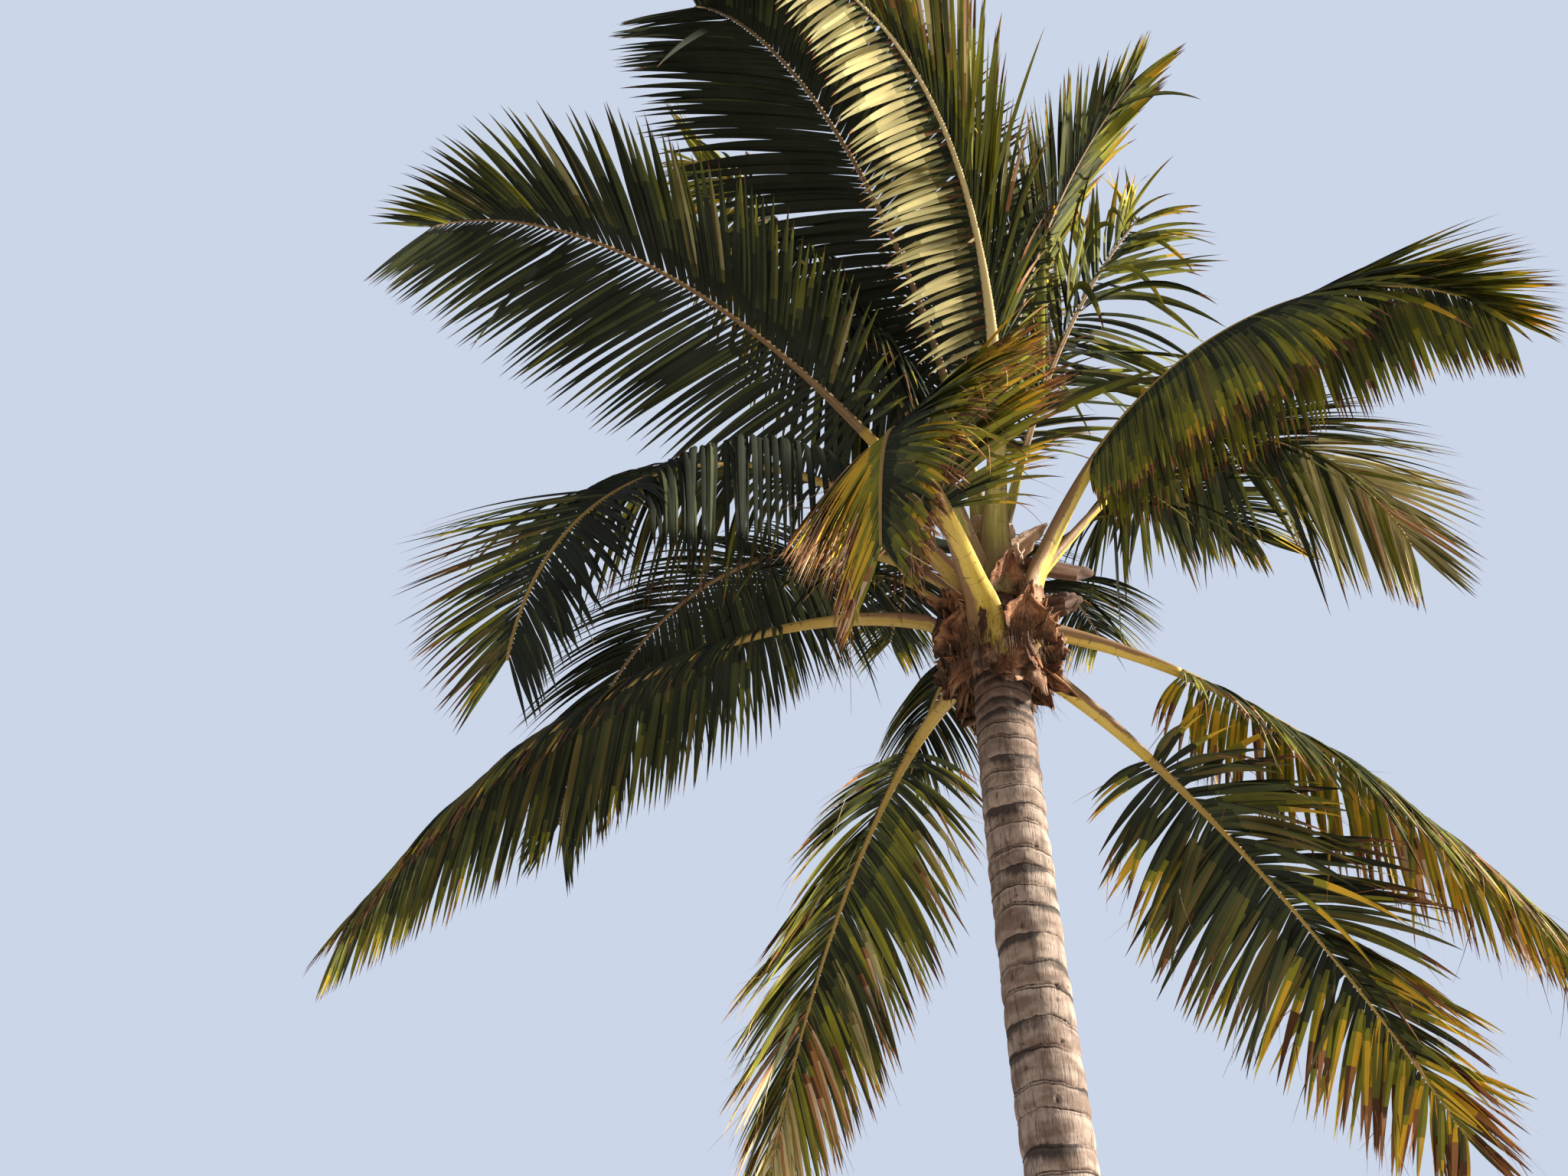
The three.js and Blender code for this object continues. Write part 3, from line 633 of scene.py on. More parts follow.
class Graph:
    """A material's nodes, made by expressions and ending in its Principled shader."""

    def __init__(self, name: str) -> None:
        """Makes an empty material of that name."""
        self.material = bpy.data.materials.new(name)
        self.material.use_nodes = True
        self.tree = self.material.node_tree
        self.principled = self.tree.nodes["Principled BSDF"]

    def node(self, kind: str, settings: dict, inputs: dict, output: Union[int, str] = 0) -> Signal:
        """Adds one node.

        Args:
            kind: the node's type.
            settings: properties that are set first.
            inputs: values or signals by socket name or number.
            output: which output is wanted.

        Returns:
            That output.
        """
        made = self.tree.nodes.new(kind)
        for key, value in settings.items():
            setattr(made, key, value)
        for key, value in inputs.items():
            self.feed(made.inputs[key], value)
        return Signal(self, made.outputs[output])

    def feed(self, socket: bpy.types.NodeSocket, value: Union[Number, Colour]) -> None:
        """Links a signal to a socket, or sets its own value."""
        if isinstance(value, Signal):
            self.tree.links.new(value.socket, socket)
        elif isinstance(value, tuple) and len(value) == 3 and socket.type == "RGBA":
            socket.default_value = (*value, 1.0)
        else:
            socket.default_value = value

    def object_place(self, scale: Triple) -> Signal:
        """Object coordinates, stretched."""
        place = self.node("ShaderNodeTexCoord", {}, {}, "Object")
        return self.node("ShaderNodeMapping", {}, {"Vector": place, "Scale": scale})

    def surface_place(self, scale: Triple = (1, 1, 1)) -> Signal:
        """The piece's own UV map, stretched."""
        place = self.node("ShaderNodeUVMap", {"uv_map": "UVMap"}, {})
        return self.node("ShaderNodeMapping", {}, {"Vector": place, "Scale": scale})

    def surface_part(self, axis: int) -> Signal:
        """One part of the piece's own UV map: 0 across it or 1 along it."""
        return self.node("ShaderNodeSeparateXYZ", {}, {"Vector": self.surface_place()}, axis)

    def attribute(self, name: str) -> Signal:
        """A number that the mesh carries at its points."""
        return self.node("ShaderNodeAttribute", {"attribute_name": name}, {}, "Fac")

    def noise(self, grain: Grain) -> Signal:
        """Cloudy noise from 0 to 1."""
        place = self.surface_place(grain.stretch) if grain.on_surface else self.object_place(grain.stretch)
        return self.node("ShaderNodeTexNoise", {}, {
            "Vector": place, "Scale": grain.scale, "Detail": grain.detail, "Roughness": grain.rough})

    def spread(self, value: Signal, onset: Onset) -> Signal:
        """How far a value is from low to high, as 0 to 1."""
        return self.node("ShaderNodeMapRange", {"interpolation_type": "SMOOTHSTEP"},
                         {"Value": value, "From Min": onset.low, "From Max": onset.high})

    def mix(self, share: Number, first: Union[Signal, Colour], second: Union[Signal, Colour]) -> Signal:
        """The colour between two colours."""
        return self.node("ShaderNodeMix", {"data_type": "RGBA"}, {0: share, 6: first, 7: second}, 2)

    def coat(self, ground: Union[Signal, Colour], value: Signal, onset: Onset, colour: Colour) -> Signal:
        """The ground with a colour over it where a value is high."""
        return self.mix(self.spread(value, onset) * onset.share, ground, colour)

    def bump(self, height: Signal, strength: float, distance: float) -> Signal:
        """A normal from a height."""
        inputs = {"Height": height, "Strength": strength, "Distance": distance}
        return self.node("ShaderNodeBump", {}, inputs)

    def finish(self, **inputs: Union[Number, Colour]) -> Material:
        """Feeds the Principled shader, its sockets named with _ for a space, and returns the material."""
        for key, value in inputs.items():
            self.feed(self.principled.inputs[key.replace("_", " ")], value)
        return self.material


@dataclass(frozen=True)
class BarkFinish:
    """Grey-tan palm bark: cream internodes, dark smudges with painted shadow under the scars, fine upright
    cracks.
    """

    tan: Colour = (0.25, 0.173, 0.134)
    cream: Colour = (0.54, 0.43, 0.355)
    grey: Colour = (0.13, 0.1, 0.085)
    crack: Colour = (0.085, 0.045, 0.03)
    smudge_shadow_colour: Colour = (0.035, 0.027, 0.024)
    dark: Colour = (0.02, 0.011, 0.008)
    brown: Colour = (0.17, 0.1, 0.068)
    patches: Grain = Grain((1, 1, 2.2), 5.5, 6.0)
    streaks: Grain = Grain((30, 30, 2.5))
    cracks: Grain = Grain((120, 120, 7.5), detail=6.0, rough=0.62)
    hairlines: Grain = Grain((260, 260, 12), rough=0.6)
    feather: Grain = Grain((60, 60, 14), detail=6.0, rough=0.65)
    creamy: Onset = Onset(0.36, 0.64)
    greyed: Onset = Onset(0.48, 0.68, 0.65)
    crazed: Onset = Onset(0.5, 0.66, 0.3)
    cracked: Onset = Onset(0.53, 0.64, 0.62)
    smudged_and_shaded: Onset = Onset(0.12, 0.62, 0.86)
    scarred: Onset = Onset(0.12, 0.6, 0.9)
    browned: float = 0.8
    smudge_and_shade_frayed: float = 0.9
    scar_frayed: float = 0.5
    relief: Triple = (-0.9, -0.35, 0.3)
    relief_strength: float = 0.75
    relief_depth: float = 0.006
    roughness: float = 0.9

    def material(self) -> Material:
        """The finish as a material that reads the bark's own attributes."""
        graph = Graph("bark")
        grains = (self.cracks, self.hairlines, self.feather)
        cracks, hairlines, feather = (graph.noise(grain) for grain in grains)
        colour = graph.coat(self.tan, graph.noise(self.patches), self.creamy, self.cream)
        colour = graph.coat(colour, graph.noise(self.streaks), self.greyed, self.grey)
        colour = graph.mix(graph.attribute("pale"), colour, self.cream)
        colour = graph.coat(colour, hairlines, self.crazed, self.crack)
        colour = graph.coat(colour, cracks, self.cracked, self.crack)
        colour = graph.mix(graph.attribute("crown") * self.browned, colour, self.brown)
        # Painted shadow: the bark darkens in smudges just under each scar's lip, partly dark patches and
        # partly shade.
        smudge = graph.attribute("smudge") + (feather - 0.5) * self.smudge_and_shade_frayed
        colour = graph.coat(colour, smudge, self.smudged_and_shaded, self.smudge_shadow_colour)
        scar = graph.attribute("scar") + (feather - 0.5) * self.scar_frayed
        colour = graph.coat(colour, scar, self.scarred, self.dark)
        # The slits are painted near black: painted shade in their hollows.
        colour = graph.mix(graph.attribute("hole"), colour, self.dark)
        height = cracks * self.relief[0] + hairlines * self.relief[1] + feather * self.relief[2]
        return graph.finish(Base_Color=colour, Roughness=self.roughness,
                            Normal=graph.bump(height, self.relief_strength, self.relief_depth))


@dataclass(frozen=True)
class FibreFinish:
    """Brown woven palm fibre, its threads crossing aslant on the piece's own UV map, with painted shade in
    dark blotches and towards each piece's root.
    """

    name: str
    pale: Colour
    brown: Colour
    dark: Colour
    threads: float = 7.0
    strands: float = 26.0
    weave_stretch: float = 1.6
    weave_wander: float = 3.0
    weave_detail: float = 2.0
    weave_share: float = 0.35
    clouds: Grain = Grain(scale=13.0, detail=5.0)
    shade_blots: Grain = Grain(scale=5.5)
    lint: Grain = Grain(scale=70.0, detail=3.0)
    strand_rough: float = 0.65
    paled: Onset = Onset(0.42, 0.6)
    parted: Onset = Onset(0.4, 0.3, 0.85)
    shade_blotted: Onset = Onset(0.51, 0.62, 0.8)
    # Painted shade towards each piece's root.
    root: Onset = Onset(0.4, 0.05, 0.75)
    relief: Triple = (0.6, 1.5, 0.6)
    relief_strength: float = 0.6
    relief_depth: float = 0.004
    roughness: float = 0.92

    def weave(self, graph: Graph, way: int) -> Signal:
        """The threads that run one way, 1 or -1."""
        return graph.node("ShaderNodeTexWave", {"bands_direction": "DIAGONAL"}, {
            "Vector": graph.surface_place((way, self.weave_stretch, 1)),
            "Scale": self.threads,
            "Distortion": self.weave_wander,
            "Detail": self.weave_detail,
        })

    def material(self) -> Material:
        """The finish as a material."""
        graph = Graph(self.name)
        weave = self.weave(graph, 1) * self.weave(graph, -1)
        stretch = (self.strands, self.weave_stretch, 1)
        strand = graph.noise(Grain(stretch, detail=6.0, rough=self.strand_rough, on_surface=True))
        colour = graph.coat(self.brown, (graph.noise(self.clouds) + strand) * 0.5, self.paled, self.pale)
        colour = graph.mix(weave * self.weave_share, colour, self.brown)
        colour = graph.coat(colour, strand, self.parted, self.dark)
        # Painted shade: large dark blotches stand for the shadows deep in the folded fibre.
        colour = graph.coat(colour, graph.noise(self.shade_blots), self.shade_blotted, self.dark)
        # Painted shade: each piece darkens towards the start of its length, where it comes out of the heart.
        colour = graph.coat(colour, graph.surface_part(1), self.root, self.dark)
        height = weave * self.relief[0] + strand * self.relief[1] + graph.noise(self.lint) * self.relief[2]
        return graph.finish(Base_Color=colour, Roughness=self.roughness,
                            Normal=graph.bump(height, self.relief_strength, self.relief_depth))


@dataclass(frozen=True)
class StalkFinish:
    """Smooth leaf stalk: long pale streaks, dark specks, and dry brown margins and foot.

    specks is how many dark specks show, dryness how brown the margins are, and lean how far the dry part
    leans to the stalk's left side.
    """

    name: str
    main: Colour
    streak: Colour
    dry: Colour = (0.24, 0.13, 0.07)
    speck: Colour = (0.03, 0.02, 0.012)
    specks: float = 1.0
    dryness: float = 0.0
    lean: float = 0.0
    streaks: Grain = Grain((14, 2.2, 1), on_surface=True)
    blots: Grain = Grain(scale=30.0, detail=5.0, rough=0.7)
    clouds: Grain = Grain(scale=3.0, detail=3.0)
    marks: Grain = Grain((2.5, 46, 1), detail=3.0, on_surface=True)
    ragged: tuple[Grain, ...] = (Grain((9, 3, 1), detail=5.0, on_surface=True), Grain(scale=5.0))
    ragged_share: float = 0.8
    margin: float = 0.45
    dry_foot: float = 0.75
    streaked: Onset = Onset(0.4, 0.64)
    clouded: Onset = Onset(0.45, 0.7, 0.35)
    dried: Onset = Onset(0.62, 0.86)
    marked: Onset = Onset(0.6, 0.68, 0.6)
    blotted: Onset = Onset(0.64, 0.7)
    gloss: Onset = Onset(0.2, 0.9, 0.3)
    roughness: float = 0.46
    specular: float = 0.3
    relief_strength: float = 0.25
    relief_depth: float = 0.003

    def dried_share(self, graph: Graph) -> Signal:
        """How dry each place is: along both margins and towards the foot."""
        round_it = (graph.surface_part(0) * TURN).cosine()
        first, second = (graph.noise(grain) for grain in self.ragged)
        margin = abs(round_it) * self.margin - round_it * self.lean
        return margin + (first + second) * self.ragged_share - graph.surface_part(1) * self.dry_foot

    def material(self) -> Material:
        """The finish as a material."""
        graph = Graph(self.name)
        streaks, blots = graph.noise(self.streaks), graph.noise(self.blots)
        colour = graph.coat(self.main, streaks, self.streaked, self.streak)
        colour = graph.coat(colour, graph.noise(self.clouds), self.clouded, self.streak)
        if self.dryness:
            share = graph.spread(self.dried_share(graph), self.dried)
            colour = graph.mix(share * self.dryness, colour, self.dry)
        marks = graph.spread(graph.noise(self.marks), self.marked) * (self.marked.share * self.specks)
        colour = graph.mix(marks, colour, self.speck)
        colour = graph.mix(graph.spread(blots, self.blotted) * self.specks, colour, self.speck)
        return graph.finish(Base_Color=colour,
                            Roughness=graph.spread(blots, self.gloss) * self.gloss.share + self.roughness,
                            Normal=graph.bump(streaks, self.relief_strength, self.relief_depth),
                            Specular_IOR_Level=self.specular)


def shade(colour: Colour, share: float) -> Colour:
    """A colour made darker or lighter, up to white."""
    return tuple(min(1.0, share * part) for part in colour)


@dataclass(frozen=True)
class LeafFinish:
    """A plain leaflet colour with a faint cloud over it and a soft gloss."""

    tint: Tint
    colour: Colour
    clouds: Grain = Grain(scale=2.6)
    clouded: Onset = Onset(0.3, 0.7)
    darker: float = 0.74
    lighter: float = 1.2
    gloss: Onset = Onset(0.2, 0.8, 0.16)
    roughness: float = 0.6
    specular: float = 0.05

    def material(self) -> Material:
        """The finish as a material."""
        graph = Graph("leaflet_" + self.tint.value)
        clouds = graph.noise(self.clouds)
        darker, lighter = shade(self.colour, self.darker), shade(self.colour, self.lighter)
        return graph.finish(Base_Color=graph.coat(darker, clouds, self.clouded, lighter),
                            Roughness=graph.spread(clouds, self.gloss) * self.gloss.share + self.roughness,
                            Specular_IOR_Level=self.specular)


@dataclass(frozen=True)
class WoodFinish:
    """Dry brown stalk that has weathered along its grain."""

    name: str
    main: Colour
    grey: Colour
    grain: Grain = Grain((16, 2, 1), detail=5.0, rough=0.6, on_surface=True)
    clouds: Grain = Grain(scale=9.0)
    weathered: Onset = Onset(0.38, 0.62)
    stained: Onset = Onset(0.55, 0.72, 0.6)
    stain: float = 0.35
    roughness: float = 0.85
    relief_strength: float = 0.5
    relief_depth: float = 0.004

    def material(self) -> Material:
        """The finish as a material."""
        graph = Graph(self.name)
        grain = graph.noise(self.grain)
        colour = graph.coat(self.main, grain, self.weathered, self.grey)
        colour = graph.coat(colour, graph.noise(self.clouds), self.stained, shade(self.main, self.stain))
        return graph.finish(Base_Color=colour, Roughness=self.roughness,
                            Normal=graph.bump(grain, self.relief_strength, self.relief_depth))


@dataclass(frozen=True)
class PlainFinish:
    """An even matt colour with the faintest cloud, for the studio floor."""

    name: str
    colour: Colour
    clouds: Grain = Grain(scale=0.6, detail=2.0)
    lighter: float = 1.04
    roughness: float = 0.9

    def material(self) -> Material:
        """The finish as a material."""
        graph = Graph(self.name)
        colour = graph.mix(graph.noise(self.clouds), self.colour, shade(self.colour, self.lighter))
        return graph.finish(Base_Color=colour, Roughness=self.roughness)


class Workshop:
    """Turns bmeshes and arrays into named pieces of the palm."""

    @staticmethod
    def fresh() -> bmesh.types.BMesh:
        """An empty bmesh with a UV map."""
        mesh = bmesh.new()
        mesh.loops.layers.uv.new("UVMap")
        return mesh

    @staticmethod
    def shaped_grid(mesh: bmesh.types.BMesh, columns: int, rows: int, place: Place) -> None:
        """Adds a grid and bends it into a shape.

        Args:
            mesh: what the grid is added to.
            columns: how many faces run across.
            rows: how many run along.
            place: gives the points for shares across and shares along.
        """
        grid = bmesh.ops.create_grid(mesh, x_segments=columns, y_segments=rows, size=1.0, calc_uvs=True)
        made = grid["verts"]
        flat = (np.array([vert.co[:2] for vert in made]) + 1) / 2
        for vert, point in zip(made, place(flat[:, 0], flat[:, 1])):
            vert.co = point

    @staticmethod
    def close(mesh: bmesh.types.BMesh, holes: bool = True) -> None:
        """Merges seams, closes open ends and turns the faces outwards."""
        bmesh.ops.remove_doubles(mesh, verts=mesh.verts, dist=1e-5)
        if holes:
            bmesh.ops.holes_fill(mesh, edges=[edge for edge in mesh.edges if edge.is_boundary], sides=0)
        bmesh.ops.recalc_face_normals(mesh, faces=mesh.faces)

    @staticmethod
    def keep(name: str, mesh: bmesh.types.BMesh, material: Material,
             smooth: bool = True) -> bpy.types.Object:
        """Makes a bmesh an object with one material.

        Args:
            name: the object's name.
            mesh: what becomes its mesh, and is freed.
            material: its one material.
            smooth: whether its faces are shaded smooth.

        Returns:
            The object.
        """
        data = bpy.data.meshes.new(name)
        mesh.to_mesh(data)
        mesh.free()
        data.materials.append(material)
        data.polygons.foreach_set("use_smooth", [smooth] * len(data.polygons))
        made = bpy.data.objects.new(name, data)
        bpy.context.scene.collection.objects.link(made)
        return made

    @staticmethod
    def joined(name: str, points: Array, quads: Array, material: Material) -> bpy.types.Object:
        """Many small four-sided faces as one object.

        Args:
            name: the object's name.
            points: corner places, n by 3.
            quads: corner numbers, m by 4.
            material: its one material.

        Returns:
            The object.
        """
        used, corners = np.unique(quads, return_inverse=True)
        corners = corners.reshape(-1)
        data = bpy.data.meshes.new(name)
        data.vertices.add(len(used))
        data.vertices.foreach_set("co", points[used].astype(np.float32).ravel())
        data.loops.add(len(corners))
        data.loops.foreach_set("vertex_index", corners.astype(np.int32))
        data.polygons.add(len(quads))
        data.polygons.foreach_set("loop_start", np.arange(0, len(corners), 4, dtype=np.int32))
        data.update(calc_edges=True)
        data.validate()
        data.materials.append(material)
        made = bpy.data.objects.new(name, data)
        bpy.context.scene.collection.objects.link(made)
        return made

    @staticmethod
    def thicken(piece: bpy.types.Object, thickness: float) -> None:
        """Gives a piece of thin sheets a thickness in metres."""
        shell = piece.modifiers.new("thickness", "SOLIDIFY")
        shell.thickness = thickness
        shell.offset = 0.0

    @staticmethod
    def fit(piece: bpy.types.Object, slot: str, nodes: Iterable[str]) -> None:
        """Fixes a finished piece to the palm and logs it.

        Args:
            piece: the finished object.
            slot: not used.
            nodes: the CAD nodes that it stands for.
        """
        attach(piece, "root")
        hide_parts(*nodes)
        faces = sum(len(polygon.vertices) - 2 for polygon in piece.data.polygons)
        LOG.info("%s: %d triangles", piece.name, faces)


@dataclass
class Trunk:
    """The ringed trunk in two lengths, with the relief of its leaf scars, smudges and slits, in metres.

    Every leaf scar is a ring. A lip stands out just under it and a groove lies just over it, a dark edge and
    a pale band follow under the lip, and smudges, partly painted shadow under the lip, run down from it in
    patches.
    """

    columns: int = 112
    rows: int = 780
    split_at: float = 4.55
    beyond: float = 0.1
    scar_gap: tuple[float, ...] = (0.15, 0.14, 0.125, 0.095, 0.05)
    gap_heights: tuple[float, ...] = (0.0, 4.0, 6.4, 7.1, 7.5)
    gap_range: Pair = (0.72, 1.28)
    tilts: tuple[Ripple, ...] = (
        Ripple(0.02, 1, 11, 3, 0.9), Ripple(0.006, 2, 23, 5, 0.25), Ripple(0.0035, 7, 29, 5, 0.1))
    grains: tuple[Ripple, ...] = (Ripple(0.0011, 3, 47, 7, 0.12), Ripple(0.0022, 1, 53, 4, 0.8))
    bulge: float = 0.0075
    bulge_range: Pair = (0.4, 1.3)
    bulge_power: float = 0.8
    lip: float = 0.005
    lip_width: float = 0.012
    groove: float = 0.0085
    groove_width: float = 0.007
    weight_usual: float = 0.75
    weight_wave: float = 0.4
    weight_turn: float = 2.1
    weight_ripple: Ripple = Ripple(0.45, 1, 31, 4, 0.5)
    weight_limits: Pair = (0.2, 1.2)
    scar_width: float = 0.0055
    edge_share: float = 0.75
    edge_below: float = 0.012
    edge_width: float = 0.004
    pale_share: float = 0.7
    pale_below: float = 0.022
    pale_width: float = 0.008
    patch_turns: Triple = (2.4, 1.9, 5.0)
    patch_waves: Pair = (0.5, 0.6)
    patch_ripple: Ripple = Ripple(0.8, 1, 61, 5, 0.35)
    patch_share: float = 0.9
    patch_least: float = 0.1
    smudge_and_shade_full: float = 1.15
    smudge_and_shade_heights: Pair = (0.045, 0.08)
    crown_from: float = 7.0
    crown_run: float = 0.5
    slits: int = 150
    slit_depth: float = 0.012
    slit_lowest: float = 0.1
    slit_share: float = 0.9
    slit_power: float = 0.8
    slit_heights: Pair = (0.008, 0.02)
    slit_width: float = 0.0055
    slit_reach: float = 0.08
    slit_radius: float = 0.16
    finish: BarkFinish = field(default_factory=BarkFinish)

    def scars(self) -> Array:
        """The heights of the leaf scars, closer near the top."""
        heights = [-self.beyond]
        while heights[-1] < TRUNK.height + self.beyond:
            gap = float(np.interp(heights[-1], self.gap_heights, self.scar_gap))
            heights.append(heights[-1] + gap * between(*self.gap_range, len(heights)))
        return np.array(heights)

    def weight(self, angle: Array, height: Array, ring: Array) -> Array:
        """How marked a leaf scar is at each place."""
        waved = self.weight_usual + self.weight_wave * np.sin(angle + ring * self.weight_turn)
        return np.clip(waved + self.weight_ripple(angle, height), *self.weight_limits)

    def smudge(self, angle: Array, height: Array, ring: Array, above: Array) -> Array:
        """How dark the smudging and painted shadow under a leaf scar are, from 0 to 1, at each place that
        lies below it.

        Args:
            angle: radians round the trunk.
            height: metres above the ground.
            ring: the number of the scar below each place.
            above: metres from each place up to the next scar.

        Returns:
            The darkness of each place.
        """
        sway_turn, ring_turn, step_turn = self.patch_turns
        sway, step = self.patch_waves
        swayed = ring + sway * np.sin(angle + sway_turn * ring)
        patch = np.sin(angle + swayed * ring_turn + step * np.sin(ring * step_turn))
        patch = patch + self.patch_ripple(angle, height)
        dark = np.clip(self.patch_share * patch + self.patch_least, 0, 1)
        return dark * np.clip(self.smudge_and_shade_full - above / lerp(*self.smudge_and_shade_heights, dealt(ring + 9)), 0, 1)

    def relief(self, angle: Array, height: Array) -> dict[str, Array]:
        """What the bark does at each place.

        Args:
            angle: radians round the trunk.
            height: metres above the ground.

        Returns:
            lift, how far the bark stands out in metres, and how much of a scar, of smudging with painted
            shadow, or of a hole is there.
        """
        scars = self.scars()
        tilt = sum(ripple(angle, height) for ripple in self.tilts)
        counted = np.interp(height + tilt, scars, np.arange(len(scars)))
        ring = np.floor(counted).astype(int)
        share = counted - ring
        gap = scars[np.minimum(ring + 1, len(scars) - 1)] - scars[ring]
        above, below = (1 - share) * gap, share * gap
        weight = self.weight(angle, height, ring)
        bulge = self.bulge * lerp(*self.bulge_range, dealt(ring + 70))
        swell = bulge * np.sin(np.pi * share ** self.bulge_power)
        lip = self.lip * peak(above, self.lip_width) * weight
        sunk = self.groove * peak(below, self.groove_width) * weight
        grain = sum(ripple(angle, height) for ripple in self.grains)
        edge = self.edge_share * peak(above - self.edge_below, self.edge_width)
        scar = peak(below, self.scar_width) + edge
        pale = self.pale_share * peak(above - self.pale_below, self.pale_width) * weight
        hole = self.holes(angle, height)
        return {
            "lift": swell + lip - sunk + grain - self.slit_depth * hole,
            "scar": np.clip(scar * weight, 0, 1),
            "smudge": self.smudge(angle, height, ring, above),
            "pale": np.clip(pale, 0, 1),
            "crown": np.clip((height - self.crown_from) / self.crown_run, 0, 1),
            "hole": hole,
        }

    def holes(self, angle: Array, height: Array) -> Array:
        """How deep in one of the small upright slits each place is, from 0 to 1.

        Args:
            angle: radians round the trunk.
            height: metres above the ground.

        Returns:
            The depth of each place.
        """
        depth = np.zeros_like(angle)
        for k in range(self.slits):
            risen = TRUNK.height * self.slit_share * float(dealt(k + 300)) ** self.slit_power
            centre = risen + self.slit_lowest
            turn = between(0, TURN, k + 400)
            tall = between(*self.slit_heights, k + 500)
            rows = np.abs(height - centre) < self.slit_reach
            across = (np.mod(angle[rows] - turn + np.pi, TURN) - np.pi) * self.slit_radius
            slit = peak(across, self.slit_width) * peak(height[rows] - centre, tall)
            depth[rows] = np.maximum(depth[rows], slit)
        return depth

    def place(self, low: float, high: float) -> Place:
        """How the bark runs round the trunk between two heights."""
        def place(across: Array, along: Array) -> Array:
            """Points of the bark for shares round and up the trunk."""
            angle = TURN * across
            height = lerp(low, high, along)
            radius = TRUNK.radius(height, angle) + self.relief(angle, height)["lift"]
            return TRUNK.axis(height) + heading(angle, 0.0) * radius[:, None]
        return place

    def length(self, name: str, low: float, high: float, material: Material) -> None:
        """Makes, dresses and fits one length of the trunk.

        Args:
            name: the piece's name.
            low: the height where it begins.
            high: the height where it ends.
            material: the bark.
        """
        mesh = Workshop.fresh()
        Workshop.shaped_grid(mesh, self.columns, self.rows, self.place(low, high))
        Workshop.close(mesh)
        made = Workshop.keep(name, mesh, material)
        points = np.zeros(len(made.data.vertices) * 3, np.float32)
        made.data.vertices.foreach_get("co", points)
        points = points.reshape(-1, 3).astype(float)
        off = points - TRUNK.axis(points[:, 2])
        found = self.relief(np.mod(np.arctan2(off[:, 1], off[:, 0]), TURN), points[:, 2])
        del found["lift"]
        for layer_name, values in found.items():
            layer = made.data.attributes.new(layer_name, "FLOAT", "POINT")
            layer.data.foreach_set("value", values.astype(np.float32))
        Workshop.fit(made, "bark", ["trunk"])

    def build(self) -> None:
        """Makes the whole trunk."""
        material = self.finish.material()
        self.length("trunk_lower", 0.0, self.split_at, material)
        self.length("trunk_upper", self.split_at, TRUNK.height, material)


@dataclass(frozen=True)
class Flap:
    """One torn piece of sheath: where it grows from, its size in metres, and how it rises and bends.

    depth is how far inside the core its root lies, curl how much it cups, taper how late it narrows, tear
    how deep its end is torn, and turn how far it swings sideways. The rest is alike for all: its rags, its
    ragged sides and its folds.
    """

    angle: float
    level: float
    length: float
    width: float
    rise: float
    bend: float
    depth: float = 0.02
    curl: float = 0.0
    seed: float = 0.0
    taper: float = 1.7
    tear: float = 0.3
    turn: float = 0.0
    steps: int = 40
    rags: int = 14
    raggedness: float = 0.16
    ragged_waves: float = 21.0
    ragged_shift: float = 7.0
    narrowing: float = 0.9
    folds: Pair = (0.008, 0.006)
    fold_waves: Pair = (13.0, 29.0)
    fold_slant: float = 7.0
    root_fold: float = 0.15

    def way(self, along: Array) -> Array:
        """Which way the flap runs at shares along it."""
        return heading(self.angle + self.turn * along, np.radians(self.rise + self.bend * along))

    def place(self, across: Array, along: Array) -> Array:
        """Points of the flap for shares across and along it."""
        steps = np.linspace(0, 1, self.steps + 1)
        moves = self.way(steps) * (self.length / self.steps)
        start = beside_heart(self.angle, self.level, CORE.radius(self.level) - self.depth)
        course = start + np.vstack([np.zeros(3), np.cumsum(moves[:-1], 0)])
        torn = 1 - self.tear * dealt(np.round(across * self.rags) + self.seed)
        middle = followed(np.clip(along * torn, 0, 1), steps, course)
        ragged = np.sin(along * self.ragged_waves + self.seed * self.ragged_shift) * along
        narrowed = 1 - self.narrowing * along ** self.taper
        half = self.width / 2 * narrowed * (1 + self.raggedness * ragged)
        sideways = heading(self.angle + self.turn * along + np.pi / 2, 0.0)
        up = np.cross(self.way(along), sideways)
        shift = 2 * across - 1
        broad = self.folds[0] * np.sin(across * self.fold_waves[0] + self.seed)
        fine = self.folds[1] * np.sin(across * self.fold_waves[1] + along * self.fold_slant + self.seed)
        folded = (broad + fine) * np.sin(np.pi * np.clip(along + self.root_fold, 0, 1))
        return middle + aside(sideways, shift * half, up, -(self.curl * half * shift ** 2 + folded))


